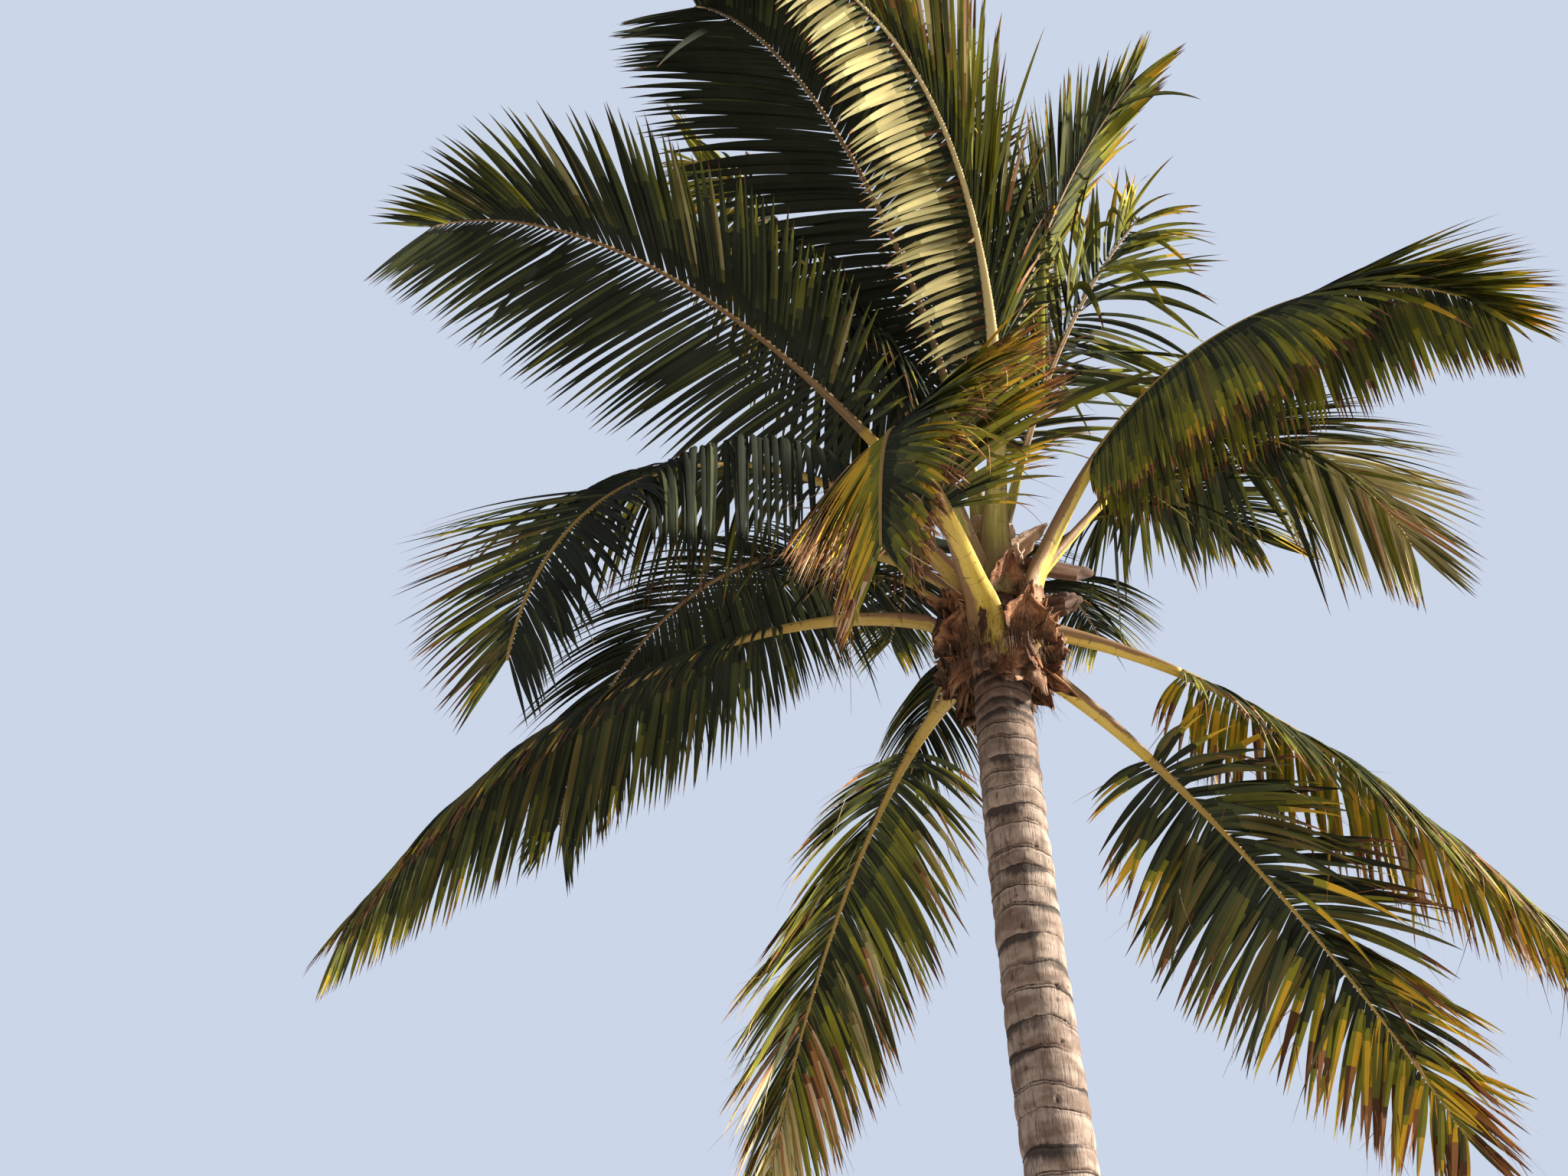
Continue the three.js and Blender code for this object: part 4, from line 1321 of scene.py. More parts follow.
@dataclass(frozen=True)
class Hair:
    """A crowd of loose fibres on the heart: ranges of level, slope in degrees, length and half width."""

    name: str
    seed: float
    count: int
    level: Pair
    rise: Pair
    length: Pair
    half: Pair
    colour: Colour
    yaw: float = 55.0
    most_fall: float = 60.0
    off_core: Pair = (0.01, 0.06)
    blunt: float = 1.05
    steps: int = 6
    darker: float = 0.4

    def strips(self) -> tuple[Array, Array]:
        """The fibres as narrow strips: their corners and their faces' corner numbers."""
        number = np.arange(self.count) + self.seed
        angle = TURN * dealt(number + 0.11)
        level = lerp(*self.level, dealt(number + 0.31))
        length = lerp(*self.length, dealt(number + 0.43) ** 2)
        rise = np.radians(lerp(*self.rise, dealt(number + 0.47)))
        fall = np.radians(-self.most_fall * dealt(number + 0.59))
        yaw = angle + np.radians(self.yaw) * (2 * dealt(number + 0.61) - 1)
        point = beside_heart(angle, level, CORE.radius(level) + lerp(*self.off_core, dealt(number + 0.63)))
        half = lerp(*self.half, dealt(number + 0.67))[:, None]
        rows = []
        for step in range(self.steps + 1):
            share = step / self.steps
            side = heading(yaw + np.pi / 2 + share, 0.0) * half * (self.blunt - share)
            rows.append(np.stack([point - side, point + side], 1))
            point = point + heading(yaw, rise + fall * share) * (length / self.steps)[:, None]
        first = np.arange(self.count)[:, None] * (self.steps + 1) * 2 + np.arange(self.steps) * 2
        quads = np.stack([first, first + 1, first + 3, first + 2], -1).reshape(-1, 4)
        return np.stack(rows, 1).reshape(-1, 3), quads

    def build(self) -> None:
        """Makes, dresses and fits the fibres."""
        darker = shade(self.colour, self.darker)
        finish = FibreFinish(self.name, self.colour, darker, darker)
        Workshop.fit(Workshop.joined(self.name, *self.strips(), finish.material()), "fibre", ["heart"])


@dataclass(frozen=True)
class Collar:
    """The woven collar round one stalk's foot, with torn edges, in metres and shares of the foot."""

    frond: Frond
    number: int
    start: float = 0.42
    run: float = 0.3
    rags: int = 19
    rag_seed: int = 31
    shortest_rag: float = 0.5
    room: float = 1.12
    opening: float = 0.12
    waves: Pair = (0.1, 0.08)
    wave_counts: Pair = (3, 11)
    wave_slant: float = 5.0
    off_side: float = 0.008
    off_top: float = 0.012

    def place(self, across: Array, along: Array) -> Array:
        """Points of the collar for shares round and along it."""
        rag = dealt(np.round(across * self.rags % self.rags) + self.number * self.rag_seed)
        torn = lerp(1, lerp(self.shortest_rag, 1, rag), along)
        centre, side, up, half, thick = self.frond.section(self.start + self.run * along * torn)
        turn = TURN * across
        broad = self.waves[0] * np.sin(turn * self.wave_counts[0] + self.number)
        fine = self.waves[1] * np.sin(turn * self.wave_counts[1] + along * self.wave_slant)
        grown = self.room + broad + fine + self.opening * along
        wide = np.cos(turn) * (half * grown + self.off_side)
        return centre + aside(side, wide, up, np.sin(turn) * (thick * grown + self.off_top))


@dataclass
class Heart:
    """The fibrous heart: its core, sheaths round the stalks' feet, torn flaps, bracts and hairs."""

    columns: int = 140
    rows: int = 120
    creases: tuple[Ripple, ...] = (Ripple(0.02, 2, 71, 6, 0.5), Ripple(0.014, 6, 83, 6, 0.5))
    smooth_top: float = 0.2
    smooth_foot: float = 0.08
    sheet_grid: Grid = (16, 16)
    collar_grid: Grid = (38, 9)
    thin: float = 0.003
    sheath: float = 0.004
    stiff: float = 0.005
    wrapped_below: float = 0.62
    wrap_apart: float = 0.9
    skirt_count: int = 30
    scrap_count: int = 46
    spread_places: tuple[tuple[float, ...], ...] = (
        (352, 0.13, 0.33, 0.2, -38), (24, 0.2, 0.28, 0.16, -55), (200, 0.16, 0.24, 0.18, -50),
        (110, 0.15, 0.27, 0.2, -45), (60, 0.22, 0.25, 0.16, -35), (262, 0.12, 0.2, 0.16, -70),
        (288, 0.5, 0.26, 0.24, 78), (202, 0.42, 0.26, 0.2, 22), (222, 0.36, 0.22, 0.18, 40),
        (302, 0.3, 0.24, 0.14, 68), (318, 0.26, 0.22, 0.13, 60))
    bract_places: tuple[tuple[float, ...], ...] = (
        (246, 0.86, 0.2, 66), (300, 0.8, 0.2, 66), (342, 0.84, 0.3, 42), (15, 0.8, 0.24, 60),
        (75, 0.82, 0.22, 62), (130, 0.84, 0.22, 62), (190, 0.8, 0.22, 62))
    collared: tuple[str, ...] = ("right_high", "back_right", "back_left")
    bare: str = "front_low"
    bare_at: float = 262.0
    bare_width: float = 26.0
    bare_share: float = 0.75
    lowering: float = 0.75
    # The core's fibre is darker than the flaps': dark brown fibre, and painted shade where the core lies
    # deep behind the feet and flaps.
    fibre: FibreFinish = FibreFinish(
        "heart_fibre", (0.24, 0.13, 0.075), (0.1, 0.048, 0.026), (0.014, 0.008, 0.005), strands=150)
    rusty: FibreFinish = FibreFinish(
        "rusty_fibre", (0.5, 0.25, 0.12), (0.18, 0.068, 0.03), (0.02, 0.009, 0.005))
    cloth: FibreFinish = FibreFinish(
        "sheath_cloth", (0.52, 0.335, 0.215), (0.2, 0.092, 0.048), (0.035, 0.018, 0.011))
    beige: FibreFinish = FibreFinish(
        "bract_skin", (0.72, 0.56, 0.42), (0.5, 0.34, 0.24), (0.2, 0.12, 0.08), threads=8 / 3, strands=12)
    hairs: tuple[Hair, ...] = (
        Hair("dark_hairs", 0.0, 900, (0.05, 0.6), (-60, 60), (0.05, 0.2), (0.0008, 0.002),
             (0.05, 0.03, 0.02)),
        Hair("rust_hairs", 7000.0, 1300, (0.02, 0.45), (-88, -30), (0.06, 0.24), (0.0008, 0.0024),
             (0.3, 0.15, 0.08)),
        Hair("tan_strands", 9000.0, 700, (0.08, 0.42), (-90, -72), (0.1, 0.3), (0.0015, 0.0035),
             (0.4, 0.25, 0.16), yaw=20),
    )

    def core_place(self, across: Array, along: Array) -> Array:
        """Points of the folded core for shares round and up it."""
        angle, top = TURN * across, CORE.levels[-1]
        level = top * along
        creases = sum(ripple(angle, level) for ripple in self.creases)
        fade = np.clip((top - level) / self.smooth_top, 0, 1) * np.clip(level / self.smooth_foot, 0, 1)
        return beside_heart(angle, level, CORE.radius(level) + creases * fade)

    def lowered(self, angle: float, level: float) -> float:
        """A flap's level, lowered where it would hide the foot of the lowest stalk in front."""
        off = (math.degrees(angle) - self.bare_at + 180) % 360 - 180
        return level * (1 - self.lowering * float(peak(off, self.bare_width)))

    def wraps(self, first: int) -> list[Flap]:
        """Torn sheaths that hug the core between and under every other stalk's foot.

        Args:
            first: 0 for the even ones and 1 for the odd.

        Returns:
            The flaps.
        """
        flaps = []
        wrapped = [(k, frond) for k, frond in enumerate(FRONDS)
                   if frond.level < self.wrapped_below and frond.name != self.bare]
        for k, frond in wrapped[first::2]:
            for part in range(2):
                number = k + 40 * part
                shift = (part - 0.5) * self.wrap_apart + between(-0.25, 0.25, number + 5)
                flaps.append(Flap(
                    angle=math.radians(frond.az) + shift,
                    level=max(0.03, frond.level + between(-0.42, -0.26, number + 15)),
                    length=between(0.18, 0.3, number + 25), width=between(0.2, 0.32, number + 35),
                    rise=80, bend=between(-4, -30, number + 45), depth=between(-0.014, -0.054, number + 55),
                    curl=0.5, seed=number, taper=4.0, tear=0.28, turn=between(-0.25, 0.25, number + 65)))
        return flaps

    def skirt(self, first: int) -> list[Flap]:
        """Every other torn leaf base that hangs down round the top of the trunk.

        Args:
            first: 0 for the even ones and 1 for the odd.

        Returns:
            The flaps.
        """
        flaps = []
        for k in range(first, self.skirt_count, 2):
            angle = (k + between(0, 0.6, k + 20)) / self.skirt_count * TURN
            size = between(0.75, 1.35, k + 60) * lerp(0.4, 1, self.lowered(angle, 1.0))
            flaps.append(Flap(
                angle=angle, level=self.lowered(angle, between(0.14, 0.4, k + 40)),
                length=0.25 * size, width=0.17 * size, rise=between(-66, -86, k + 90),
                bend=between(-20, 10, k + 110), depth=-0.01, curl=1.0, seed=k, taper=3.2, tear=0.24,
                turn=between(-0.3, 0.3, k + 130)))
        return flaps

    def spreading(self) -> list[Flap]:
        """Larger pointed flaps that stand away from the trunk."""
        return [Flap(math.radians(az), level, length, width, rise, bend=-22, curl=0.5, seed=k + 30, tear=0.2)
                for k, (az, level, length, width, rise) in enumerate(self.spread_places)]

    def scraps(self) -> list[Flap]:
        """Small torn scraps all over the heart, but for the bare place."""
        flaps = []
        for k in range(self.scrap_count):
            angle, size = between(0, TURN, k + 600), between(0.08, 0.18, k + 680)
            if self.lowered(angle, 1.0) < self.bare_share:
                continue
            flaps.append(Flap(
                angle=angle, level=0.14 + 0.56 * float(dealt(k + 640)) ** 1.2,
                length=size, width=size * between(0.5, 1.1, k + 760), rise=between(-60, 70, k + 720),
                bend=between(-40, 20, k + 800), depth=-0.02, curl=0.5, seed=k + 50,
                turn=between(-0.4, 0.4, k + 840)))
        return flaps

    def bracts(self) -> list[Flap]:
        """The wide pale bracts between the youngest stalks."""
        return [Flap(math.radians(az), level, length, width=0.25, rise=rise, bend=-20, depth=0.0, curl=0.35,
                     seed=k + 90, taper=1.3, tear=0.04, turn=between(-0.25, 0.25, k + 11))
                for k, (az, level, length, rise) in enumerate(self.bract_places)]

    def sheets(self, name: str, flaps: list[Flap], material: Material, thickness: float) -> None:
        """Thin torn sheets as one piece with a real thickness."""
        mesh = Workshop.fresh()
        for flap in flaps:
            Workshop.shaped_grid(mesh, *self.sheet_grid, flap.place)
        bmesh.ops.recalc_face_normals(mesh, faces=mesh.faces)
        made = Workshop.keep(name, mesh, material)
        Workshop.thicken(made, thickness)
        Workshop.fit(made, "fibre", ["heart"])

    def collars(self, name: str, material: Material) -> None:
        """The woven collars as one piece with a real thickness."""
        mesh = Workshop.fresh()
        for number, frond in enumerate(FRONDS):
            if frond.name in self.collared:
                Workshop.shaped_grid(mesh, *self.collar_grid, Collar(frond, number).place)
        Workshop.close(mesh, holes=False)
        made = Workshop.keep(name, mesh, material)
        Workshop.thicken(made, self.sheath)
        Workshop.fit(made, "fibre", ["heart"])

    def build(self) -> None:
        """Makes, dresses and fits the whole heart."""
        fibre, rusty, cloth = self.fibre.material(), self.rusty.material(), self.cloth.material()
        mesh = Workshop.fresh()
        Workshop.shaped_grid(mesh, self.columns, self.rows, self.core_place)
        Workshop.close(mesh)
        Workshop.fit(Workshop.keep("heart_core", mesh, fibre), "fibre", ["heart"])
        self.collars("stalk_collars", cloth)
        self.sheets("sheath_wraps_rust", self.wraps(0), rusty, self.sheath)
        self.sheets("sheath_wraps_tan", self.wraps(1), cloth, self.sheath)
        self.sheets("skirt_flaps_rust", self.skirt(0), rusty, self.sheath)
        self.sheets("skirt_flaps_tan", self.skirt(1), cloth, self.sheath)
        self.sheets("spread_flaps", self.spreading(), rusty, self.stiff)
        self.sheets("torn_scraps", self.scraps(), rusty, self.thin)
        self.sheets("bracts", self.bracts(), self.beige.material(), self.stiff)
        for hair in self.hairs:
            hair.build()


@dataclass(frozen=True)
class Stub:
    """A cut remain of an old stalk, from inside the heart to its blunt end, in metres and degrees."""

    name: str
    az: float
    level: float
    rise: float
    length: float
    width: float
    end_width: float
    height: float
    material: Callable[[], Material]
    slot: str = "wood"
    depth: float = 0.12
    split: float = 0.0
    rough: float = 0.05
    slant: float = 0.0
    grid: Grid = (28, 24)
    row_power: float = 0.7
    round_from: float = 0.95
    rounding: float = 0.5
    wear_waves: Pair = (5, 9)
    cut_power: int = 6

    def place(self, across: Array, along: Array) -> Array:
        """Points of the stub for shares round and along it, with a slanting cut end."""
        along = along ** self.row_power
        angle = math.radians(self.az)
        forward = heading(angle, math.radians(self.rise))
        side = heading(angle + np.pi / 2, 0.0)
        up = np.cross(forward, side)
        start = beside_heart(angle, self.level, HEART.radius(self.level) - self.depth)
        turn = TURN * across
        near_end = np.clip((along - self.round_from) / (1 - self.round_from), 0, 1)
        rounded = np.sqrt(1 - self.rounding * near_end ** 2)
        half = lerp(self.width, self.end_width, along) / 2 * rounded
        tall = self.height / 2 * rounded * (1 - self.split * np.cos(turn) ** 2 * along)
        few, many = self.wear_waves
        wear = 1 + self.rough * (np.sin(turn * few + along * many) + 0.6 * np.sin(turn * many + 2))
        offset = aside(side, np.cos(turn) * half * wear, up, np.sin(turn) * tall * wear)
        cut = 1 - self.slant * (0.5 - 0.5 * np.sin(turn + 0.5)) * along ** self.cut_power
        return start + forward * (along * cut * self.length)[:, None] + offset

    def build(self) -> None:
        """Makes, dresses and fits the stub."""
        mesh = Workshop.fresh()
        Workshop.shaped_grid(mesh, *self.grid, self.place)
        Workshop.close(mesh)
        Workshop.fit(Workshop.keep(self.name + "_stub", mesh, self.material()), self.slot, [self.name])


STUBS = [
    Stub("cut_petiole", 236, 0.61, 48, 0.63, 0.13, 0.09, 0.075,
         StalkFinish("cut_stalk_green", (0.34, 0.31, 0.07), (0.5, 0.42, 0.16), dryness=0.8).material,
         slot="stalk", slant=0.12),
    Stub("cut_stalk", 22, 0.85, 8, 0.62, 0.1, 0.07, 0.1,
         WoodFinish("dry_stalk", (0.075, 0.036, 0.022), (0.15, 0.08, 0.05)).material,
         split=0.3, slant=0.26),
    Stub("dry_base", 350, 0.47, 6, 0.34, 0.17, 0.11, 0.085,
         WoodFinish("dry_sheath", (0.065, 0.03, 0.018), (0.13, 0.068, 0.042)).material,
         split=0.3, rough=0.24, slant=0.45),
]


@dataclass
class Stalks:
    """The fronds' stalks with their clasping feet, and the ribs that they run out into."""

    petiole_grid: Grid = (22, 44)
    rib_grid: Grid = (12, 84)
    foot_top: float = 0.2
    channel_floor: float = 0.3
    hug_power: float = 1.2
    hug_radius: float = 0.16
    petioles: dict[StalkTint, StalkFinish] = field(default_factory=lambda: {
        StalkTint.YELLOW: StalkFinish("petiole_yellow", (0.56, 0.39, 0.05), (0.72, 0.54, 0.13), dryness=0.9,
                                      lean=0.34),
        StalkTint.OCHRE: StalkFinish("petiole_ochre", (0.42, 0.27, 0.05), (0.52, 0.37, 0.1), dryness=1.0),
        StalkTint.GREEN: StalkFinish("petiole_green", (0.27, 0.25, 0.045), (0.5, 0.42, 0.14), dryness=0.6),
    })
    ribs: tuple[StalkFinish, ...] = (
        StalkFinish("rib_cream", (0.56, 0.45, 0.2), (0.66, 0.55, 0.3), specks=0.3),
        StalkFinish("rib_ochre", (0.36, 0.24, 0.055), (0.47, 0.33, 0.1), specks=0.5),
        StalkFinish("rib_brown", (0.2, 0.12, 0.055), (0.3, 0.2, 0.1), specks=0.5),
    )

    def channelled(self, turn: Array, grown: Array) -> tuple[Array, Array]:
        """A section's shares of its half width and height: flat above in the foot, then channelled."""
        wide, tall = np.cos(turn), np.sin(turn)
        channel = lerp(self.channel_floor, 1, wide ** 2)
        return wide, np.where(tall > 0, tall * lerp(self.foot_top, channel, grown), tall)

    def petiole_place(self, frond: Frond) -> Place:
        """How a frond's foot and petiole run: rounded outside, hugging the core, channelled above."""
        def place(across: Array, along: Array) -> Array:
            """Points of the foot and petiole for shares round and along them."""
            share = 2 * along
            centre, side, up, half, thick = frond.section(share)
            wide, tall = self.channelled(TURN * across, np.clip(share, 0, 1))
            hug = np.clip(1 - share, 0, 1) ** self.hug_power * (wide * half) ** 2 / (2 * self.hug_radius)
            return centre + aside(side, wide * half, up, tall * thick + hug)
        return place

    def rib_place(self, frond: Frond) -> Place:
        """How a frond's rib runs from its petiole to its tip."""
        def place(across: Array, along: Array) -> Array:
            """Points of the rib for shares round and along it."""
            share = lerp(RIB.petiole_share, frond.end, along)
            _, side, up = frond.axes(share)
            width, height = RIB.size(frond.girth, share)
            wide, tall = self.channelled(TURN * across, np.ones_like(across))
            return frond.course(share) + aside(side, wide * width / 2, up, tall * height / 2)
        return place

    def fit(self, name: str, worn: list[Frond], grid: Grid, finish: StalkFinish,
            place: Callable[[Frond], Place]) -> None:
        """Makes one piece of the stalks or ribs of some fronds.

        Args:
            name: the piece's name.
            worn: the fronds that it belongs to.
            grid: how many faces run round and along each.
            finish: its finish.
            place: gives each frond its way to bend the grid.
        """
        mesh = Workshop.fresh()
        for frond in worn:
            Workshop.shaped_grid(mesh, *grid, place(frond))
        Workshop.close(mesh)
        starts = tuple("frond_" + frond.name for frond in worn)
        nodes = [node for node in FROND_NODES if node.startswith(starts)]
        Workshop.fit(Workshop.keep(name, mesh, finish.material()), "stalk", nodes)

    def build(self) -> None:
        """Makes, dresses and fits the stalks and the ribs."""
        for tint, finish in self.petioles.items():
            worn = [frond for frond in FRONDS if frond.stalk is tint]
            self.fit("petioles_" + tint.value, worn, self.petiole_grid, finish, self.petiole_place)
        for tint, finish in zip(RibTint, self.ribs):
            worn = [frond for frond in FRONDS if frond.ribs is tint]
            self.fit("ribs_" + tint.value, worn, self.rib_grid, finish, self.rib_place)


@dataclass(frozen=True)
class LeafletShape:
    """The outline, the fold and the fall that leaflets share, in metres, degrees and shares of the length.

    size is the two shares of its width that a leaflet has anyway and that it has for its length. An even
    fall begins at once, and an arched one holds the leaflet up first.
    """

    longest: float = 0.96
    least: float = 0.12
    widest: float = 0.041
    size: Pair = (0.45, 0.55)
    size_range: Pair = (0.88, 1.12)
    swell: Triple = (0.22, 0.66, 0.9)
    root_width: float = 0.5
    root_run: float = 0.28
    narrow_from: float = 0.4
    narrow_power: float = 1.4
    tip_width: float = 0.015
    folds: Pair = (30.0, 10.0)
    even_fall: Pair = (0.28, 0.78)
    arched_fall: Triple = (-0.12, 1.9, 1.4)
    own_fall: float = 0.12

    def swelling(self, blade: Array) -> Array:
        """How long the leaflets grow along the blade, from 0 to 1."""
        start, run, power = self.swell
        return np.sin(np.pi * (start + run * blade ** power))

    def outline(self, along: Array) -> Array:
        """How wide a leaflet is at shares along it."""
        narrow = 1 - np.clip((along - self.narrow_from) / (1 - self.narrow_from), 0, 1) ** self.narrow_power
        return lerp(self.root_width, 1, np.clip(along / self.root_run, 0, 1)) * narrow + self.tip_width

    def fall(self, hang: Array, arch: float, part: float) -> Array:
        """How steeply the leaflets fall at a share along them."""
        even = self.even_fall[0] + self.even_fall[1] * part
        arched = self.arched_fall[0] + self.arched_fall[1] * part ** self.arched_fall[2]
        return hang * lerp(even, arched, arch) + self.own_fall * part ** 2


@dataclass(frozen=True)
class Row:
    """The leaflets on one side of a frond, with what chance deals each.

    hand is 1 for the left side, seen from the trunk outwards, and -1 for the right. blade is where along
    the blade each leaflet grows, from 0 to 1. wander holds five chance numbers for each, and strays says how
    many times further than usual it strays.
    """

    frond: Frond
    hand: int
    blade: Array
    wander: Array
    strays: Array

    @property
    def share(self) -> Array:
        """Where along the whole rib each leaflet grows."""
        return lerp(RIB.petiole_share, self.frond.end, self.blade)

    @property
    def outer(self) -> Array:
        """How far each leaflet's habit has come to that of the tip."""
        return np.clip(self.blade / self.frond.hang_until, 0, 1)

    def own(self, pairs: str, share: Array) -> Array:
        """This side's value of the frond's pair of that name, on its way to the tip's own."""
        pair = getattr(self.frond, pairs)
        tip_pair = getattr(self.frond, "tip_" + pairs) or pair
        return lerp(of_side(pair, self.hand), of_side(tip_pair, self.hand), share)


@dataclass
class Leaflets:
    """The fine leaflets of every frond, dealt by colour into joined pieces.

    Sizes are in metres, degrees and shares. A mess pair is how far each leaflet strays by itself and how far
    neighbours stray together.
    """

    spacing: float = 0.025
    place_range: Pair = (0.3, 0.7)
    root_off: float = 0.42
    shape: LeafletShape = LeafletShape()
    steps: int = 12
    angle_base: float = 72.0
    angle_tip: float = 26.0
    angle_power: float = 1.5
    least_angle: float = 17.0
    base_fan: float = 42.0
    fan_run: float = 0.045
    angle_mess: Pair = (1.1, 2.1)
    lift_power: float = 1.5
    lift_mess: Pair = (2.0, 2.2)
    stray_share: float = 0.06
    stray_strength: float = 3.0
    length_loss: float = 0.12
    first_loss: float = 0.4
    first_run: float = 0.04
    turn_power: float = 3.0
    stiff_tip: float = 0.7
    stiff_from: float = 0.84
    hang_mess: Pair = (0.07, 0.08)
    broken_share: float = 0.02
    broken_fall: float = 1.3
    twist_mess: Pair = (4.0, 12.0)
    drift_run: float = 5.0
    soft_edge: float = 0.13
    shaded_share: float = 0.8
    thread_from: Pair = (0.45, 0.85)
    thread_bend: float = 16.0
    thread_lengths: Pair = (0.1, 0.26)
    thread_fall: float = 0.35
    thread_power: float = 1.5
    thread_width: float = 0.007
    thread_taper: float = 0.85
    thread_tints: Deal = deal(rust=0.6, straw=0.25, umber=0.15)
    seed: int = 7
    colours: dict[Tint, Colour] = field(default_factory=lambda: {
        Tint.DEEP: (0.031, 0.037, 0.026),
        Tint.LEAF: (0.073, 0.086, 0.037),
        Tint.MOSS: (0.162, 0.17, 0.04),
        Tint.OLIVE: (0.15, 0.125, 0.045),
        Tint.LIME: (0.28, 0.275, 0.035),
        Tint.SAGE: (0.34, 0.315, 0.15),
        Tint.SUNLIT: (0.55, 0.485, 0.23),
        Tint.GOLD: (0.72, 0.45, 0.045),
        Tint.RUST: (0.38, 0.18, 0.08),
        Tint.UMBER: (0.12, 0.062, 0.032),
        Tint.STRAW: (0.68, 0.52, 0.32),
    })

    def __post_init__(self) -> None:
        """Starts the chance numbers and the collected leaflets."""
        self.chance = np.random.default_rng(self.seed)
        self.corners: list[Array] = []
        self.tints: list[Array] = []

    def kept_off_rib(self, direction: Array, forward: Array) -> Array:
        """Directions turned away from the rib where they lie too near to it either way."""
        direction = unit(direction)
        along = dot(direction, forward)
        least = math.radians(self.least_angle)
        out = unit(direction - forward * along)
        off = out * math.sin(least) + forward * np.sign(along) * math.cos(least)
        return np.where(np.abs(along) <= math.cos(least), direction, off)

    def pick(self, shares: Deal, count: int) -> Array:
        """Deals tints by their shares, as their numbers in Tint."""
        order = list(Tint)
        numbers = [order.index(tint) for tint, _ in shares]
        weights = np.array([share for _, share in shares])
        return self.chance.choice(numbers, count, p=weights / weights.sum())

    def messed(self, wander: Array, sizes: Pair) -> Array:
        """Chance numbers: each leaflet's own, and some that change slowly from one leaflet to the next."""
        count = len(wander)
        knots = self.chance.normal(0, 1, int(count / self.drift_run) + 3)
        drift = np.interp(np.arange(count) / self.drift_run, np.arange(len(knots)), knots)
        return sizes[0] * wander + sizes[1] * drift

    def colour(self, dress: Dress, blade: Array, far_side: Array) -> Array:
        """A tint for each half of each step of the leaflets.

        Args:
            dress: the colours to deal.
            blade: where along the blade each leaflet grows, from 0 to 1.
            far_side: whether each leaflet's second half is the one turned from the sun.

        Returns:
            Numbers of tints, leaflets by steps by 2.
        """
        count = len(blade)
        along = (np.arange(self.steps) + 0.5)[None, :, None] / self.steps
        tints = np.zeros((count, self.steps, 2), int)
        order = list(Tint)
        darker = np.array([order.index(SHADED_TINT.get(tint, tint)) for tint in order])
        brightness = np.array([sum(self.colours[tint]) for tint in order])
        for band in dress.bands:
            crept = band.creep * blade[:, None, None] ** 2
            start = band.start + band.jitter * (2 * self.chance.random((count, 1, 1)) - 1)
            start = start + 0.5 * band.jitter * (self.chance.random((count, 1, 2)) - 0.5) - crept
            worn = self.chance.random((count, 1, 1)) < band.worn + crept
            dealt_tints = self.pick(band.tints, count)[:, None, None]
            sharp = (along > start + self.soft_edge) | (brightness[dealt_tints] <= brightness[tints])
            softened = np.where(sharp, dealt_tints, darker[dealt_tints])
            tints = np.where(worn & (along > start), softened, tints)
        # The half of each leaflet turned from the sun mostly takes the darker tint: painted shade.
        turned_away = np.stack([~far_side, far_side], -1)[:, None, :]
        shaded = turned_away & (self.chance.random((count, 1, 1)) < self.shaded_share)
        return np.where(shaded, darker[tints], tints)

    def row(self, frond: Frond, hand: int) -> Row:
        """Deals the places and the chance numbers of one side's leaflets."""
        run = frond.length * (frond.end - RIB.petiole_share)
        count = round(run / self.spacing * of_side(frond.crowd, hand))
        places = np.arange(count) + lerp(*self.place_range, self.chance.random(count))
        blade = np.clip(places / count, 0, 1)
        wander = self.chance.normal(0, 1, (5, count))
        straying = self.chance.random(count) < self.stray_share * frond.mess
        return Row(frond, hand, blade, wander, np.where(straying, self.stray_strength, 1.0))

    def aims(self, row: Row) -> Array:
        """Which way each leaflet of a row sets out."""
        blade, mess = row.blade, row.frond.mess
        forward, side, up = row.frond.axes(row.share)
        opened = lerp(self.angle_base, self.angle_tip, blade ** self.angle_power)
        opened = opened * row.own("spread", row.outer ** 2) + self.base_fan * np.exp(-blade / self.fan_run)
        angle = np.radians(opened + mess * self.messed(row.wander[0] * row.strays, self.angle_mess))
        lift = row.own("lift", blade ** self.lift_power)
        lift = np.radians(lift + mess * self.messed(row.wander[1] * row.strays, self.lift_mess))
        out = aside(side * row.hand, np.cos(lift), up, np.sin(lift))
        return aside(forward, np.cos(angle), out, np.sin(angle))

    def lengths(self, row: Row) -> Array:
        """How long each leaflet of a row is."""
        shape = self.shape
        usual = shape.longest * row.frond.length / RIB.usual_length
        length = usual * lerp(shape.least, 1, shape.swelling(row.blade)) * row.own("reach", row.outer)
        length = length * (1 - self.length_loss * self.chance.random(len(row.blade)) ** 2)
        return length * (1 - self.first_loss * np.exp(-row.blade / self.first_run))

    def hangs(self, row: Row) -> Array:
        """How far each leaflet of a row lets itself fall."""
        mess = row.frond.mess
        broken = self.chance.random(len(row.blade)) < self.broken_share * mess
        stiff = np.clip((row.blade - self.stiff_from) / (1 - self.stiff_from), 0, 1)
        hang = row.own("hang", row.outer ** self.turn_power) * (1 - self.stiff_tip * stiff)
        hang = hang + mess * self.messed(np.abs(row.wander[2]), self.hang_mess)
        return np.maximum(hang, 0) + self.broken_fall * broken

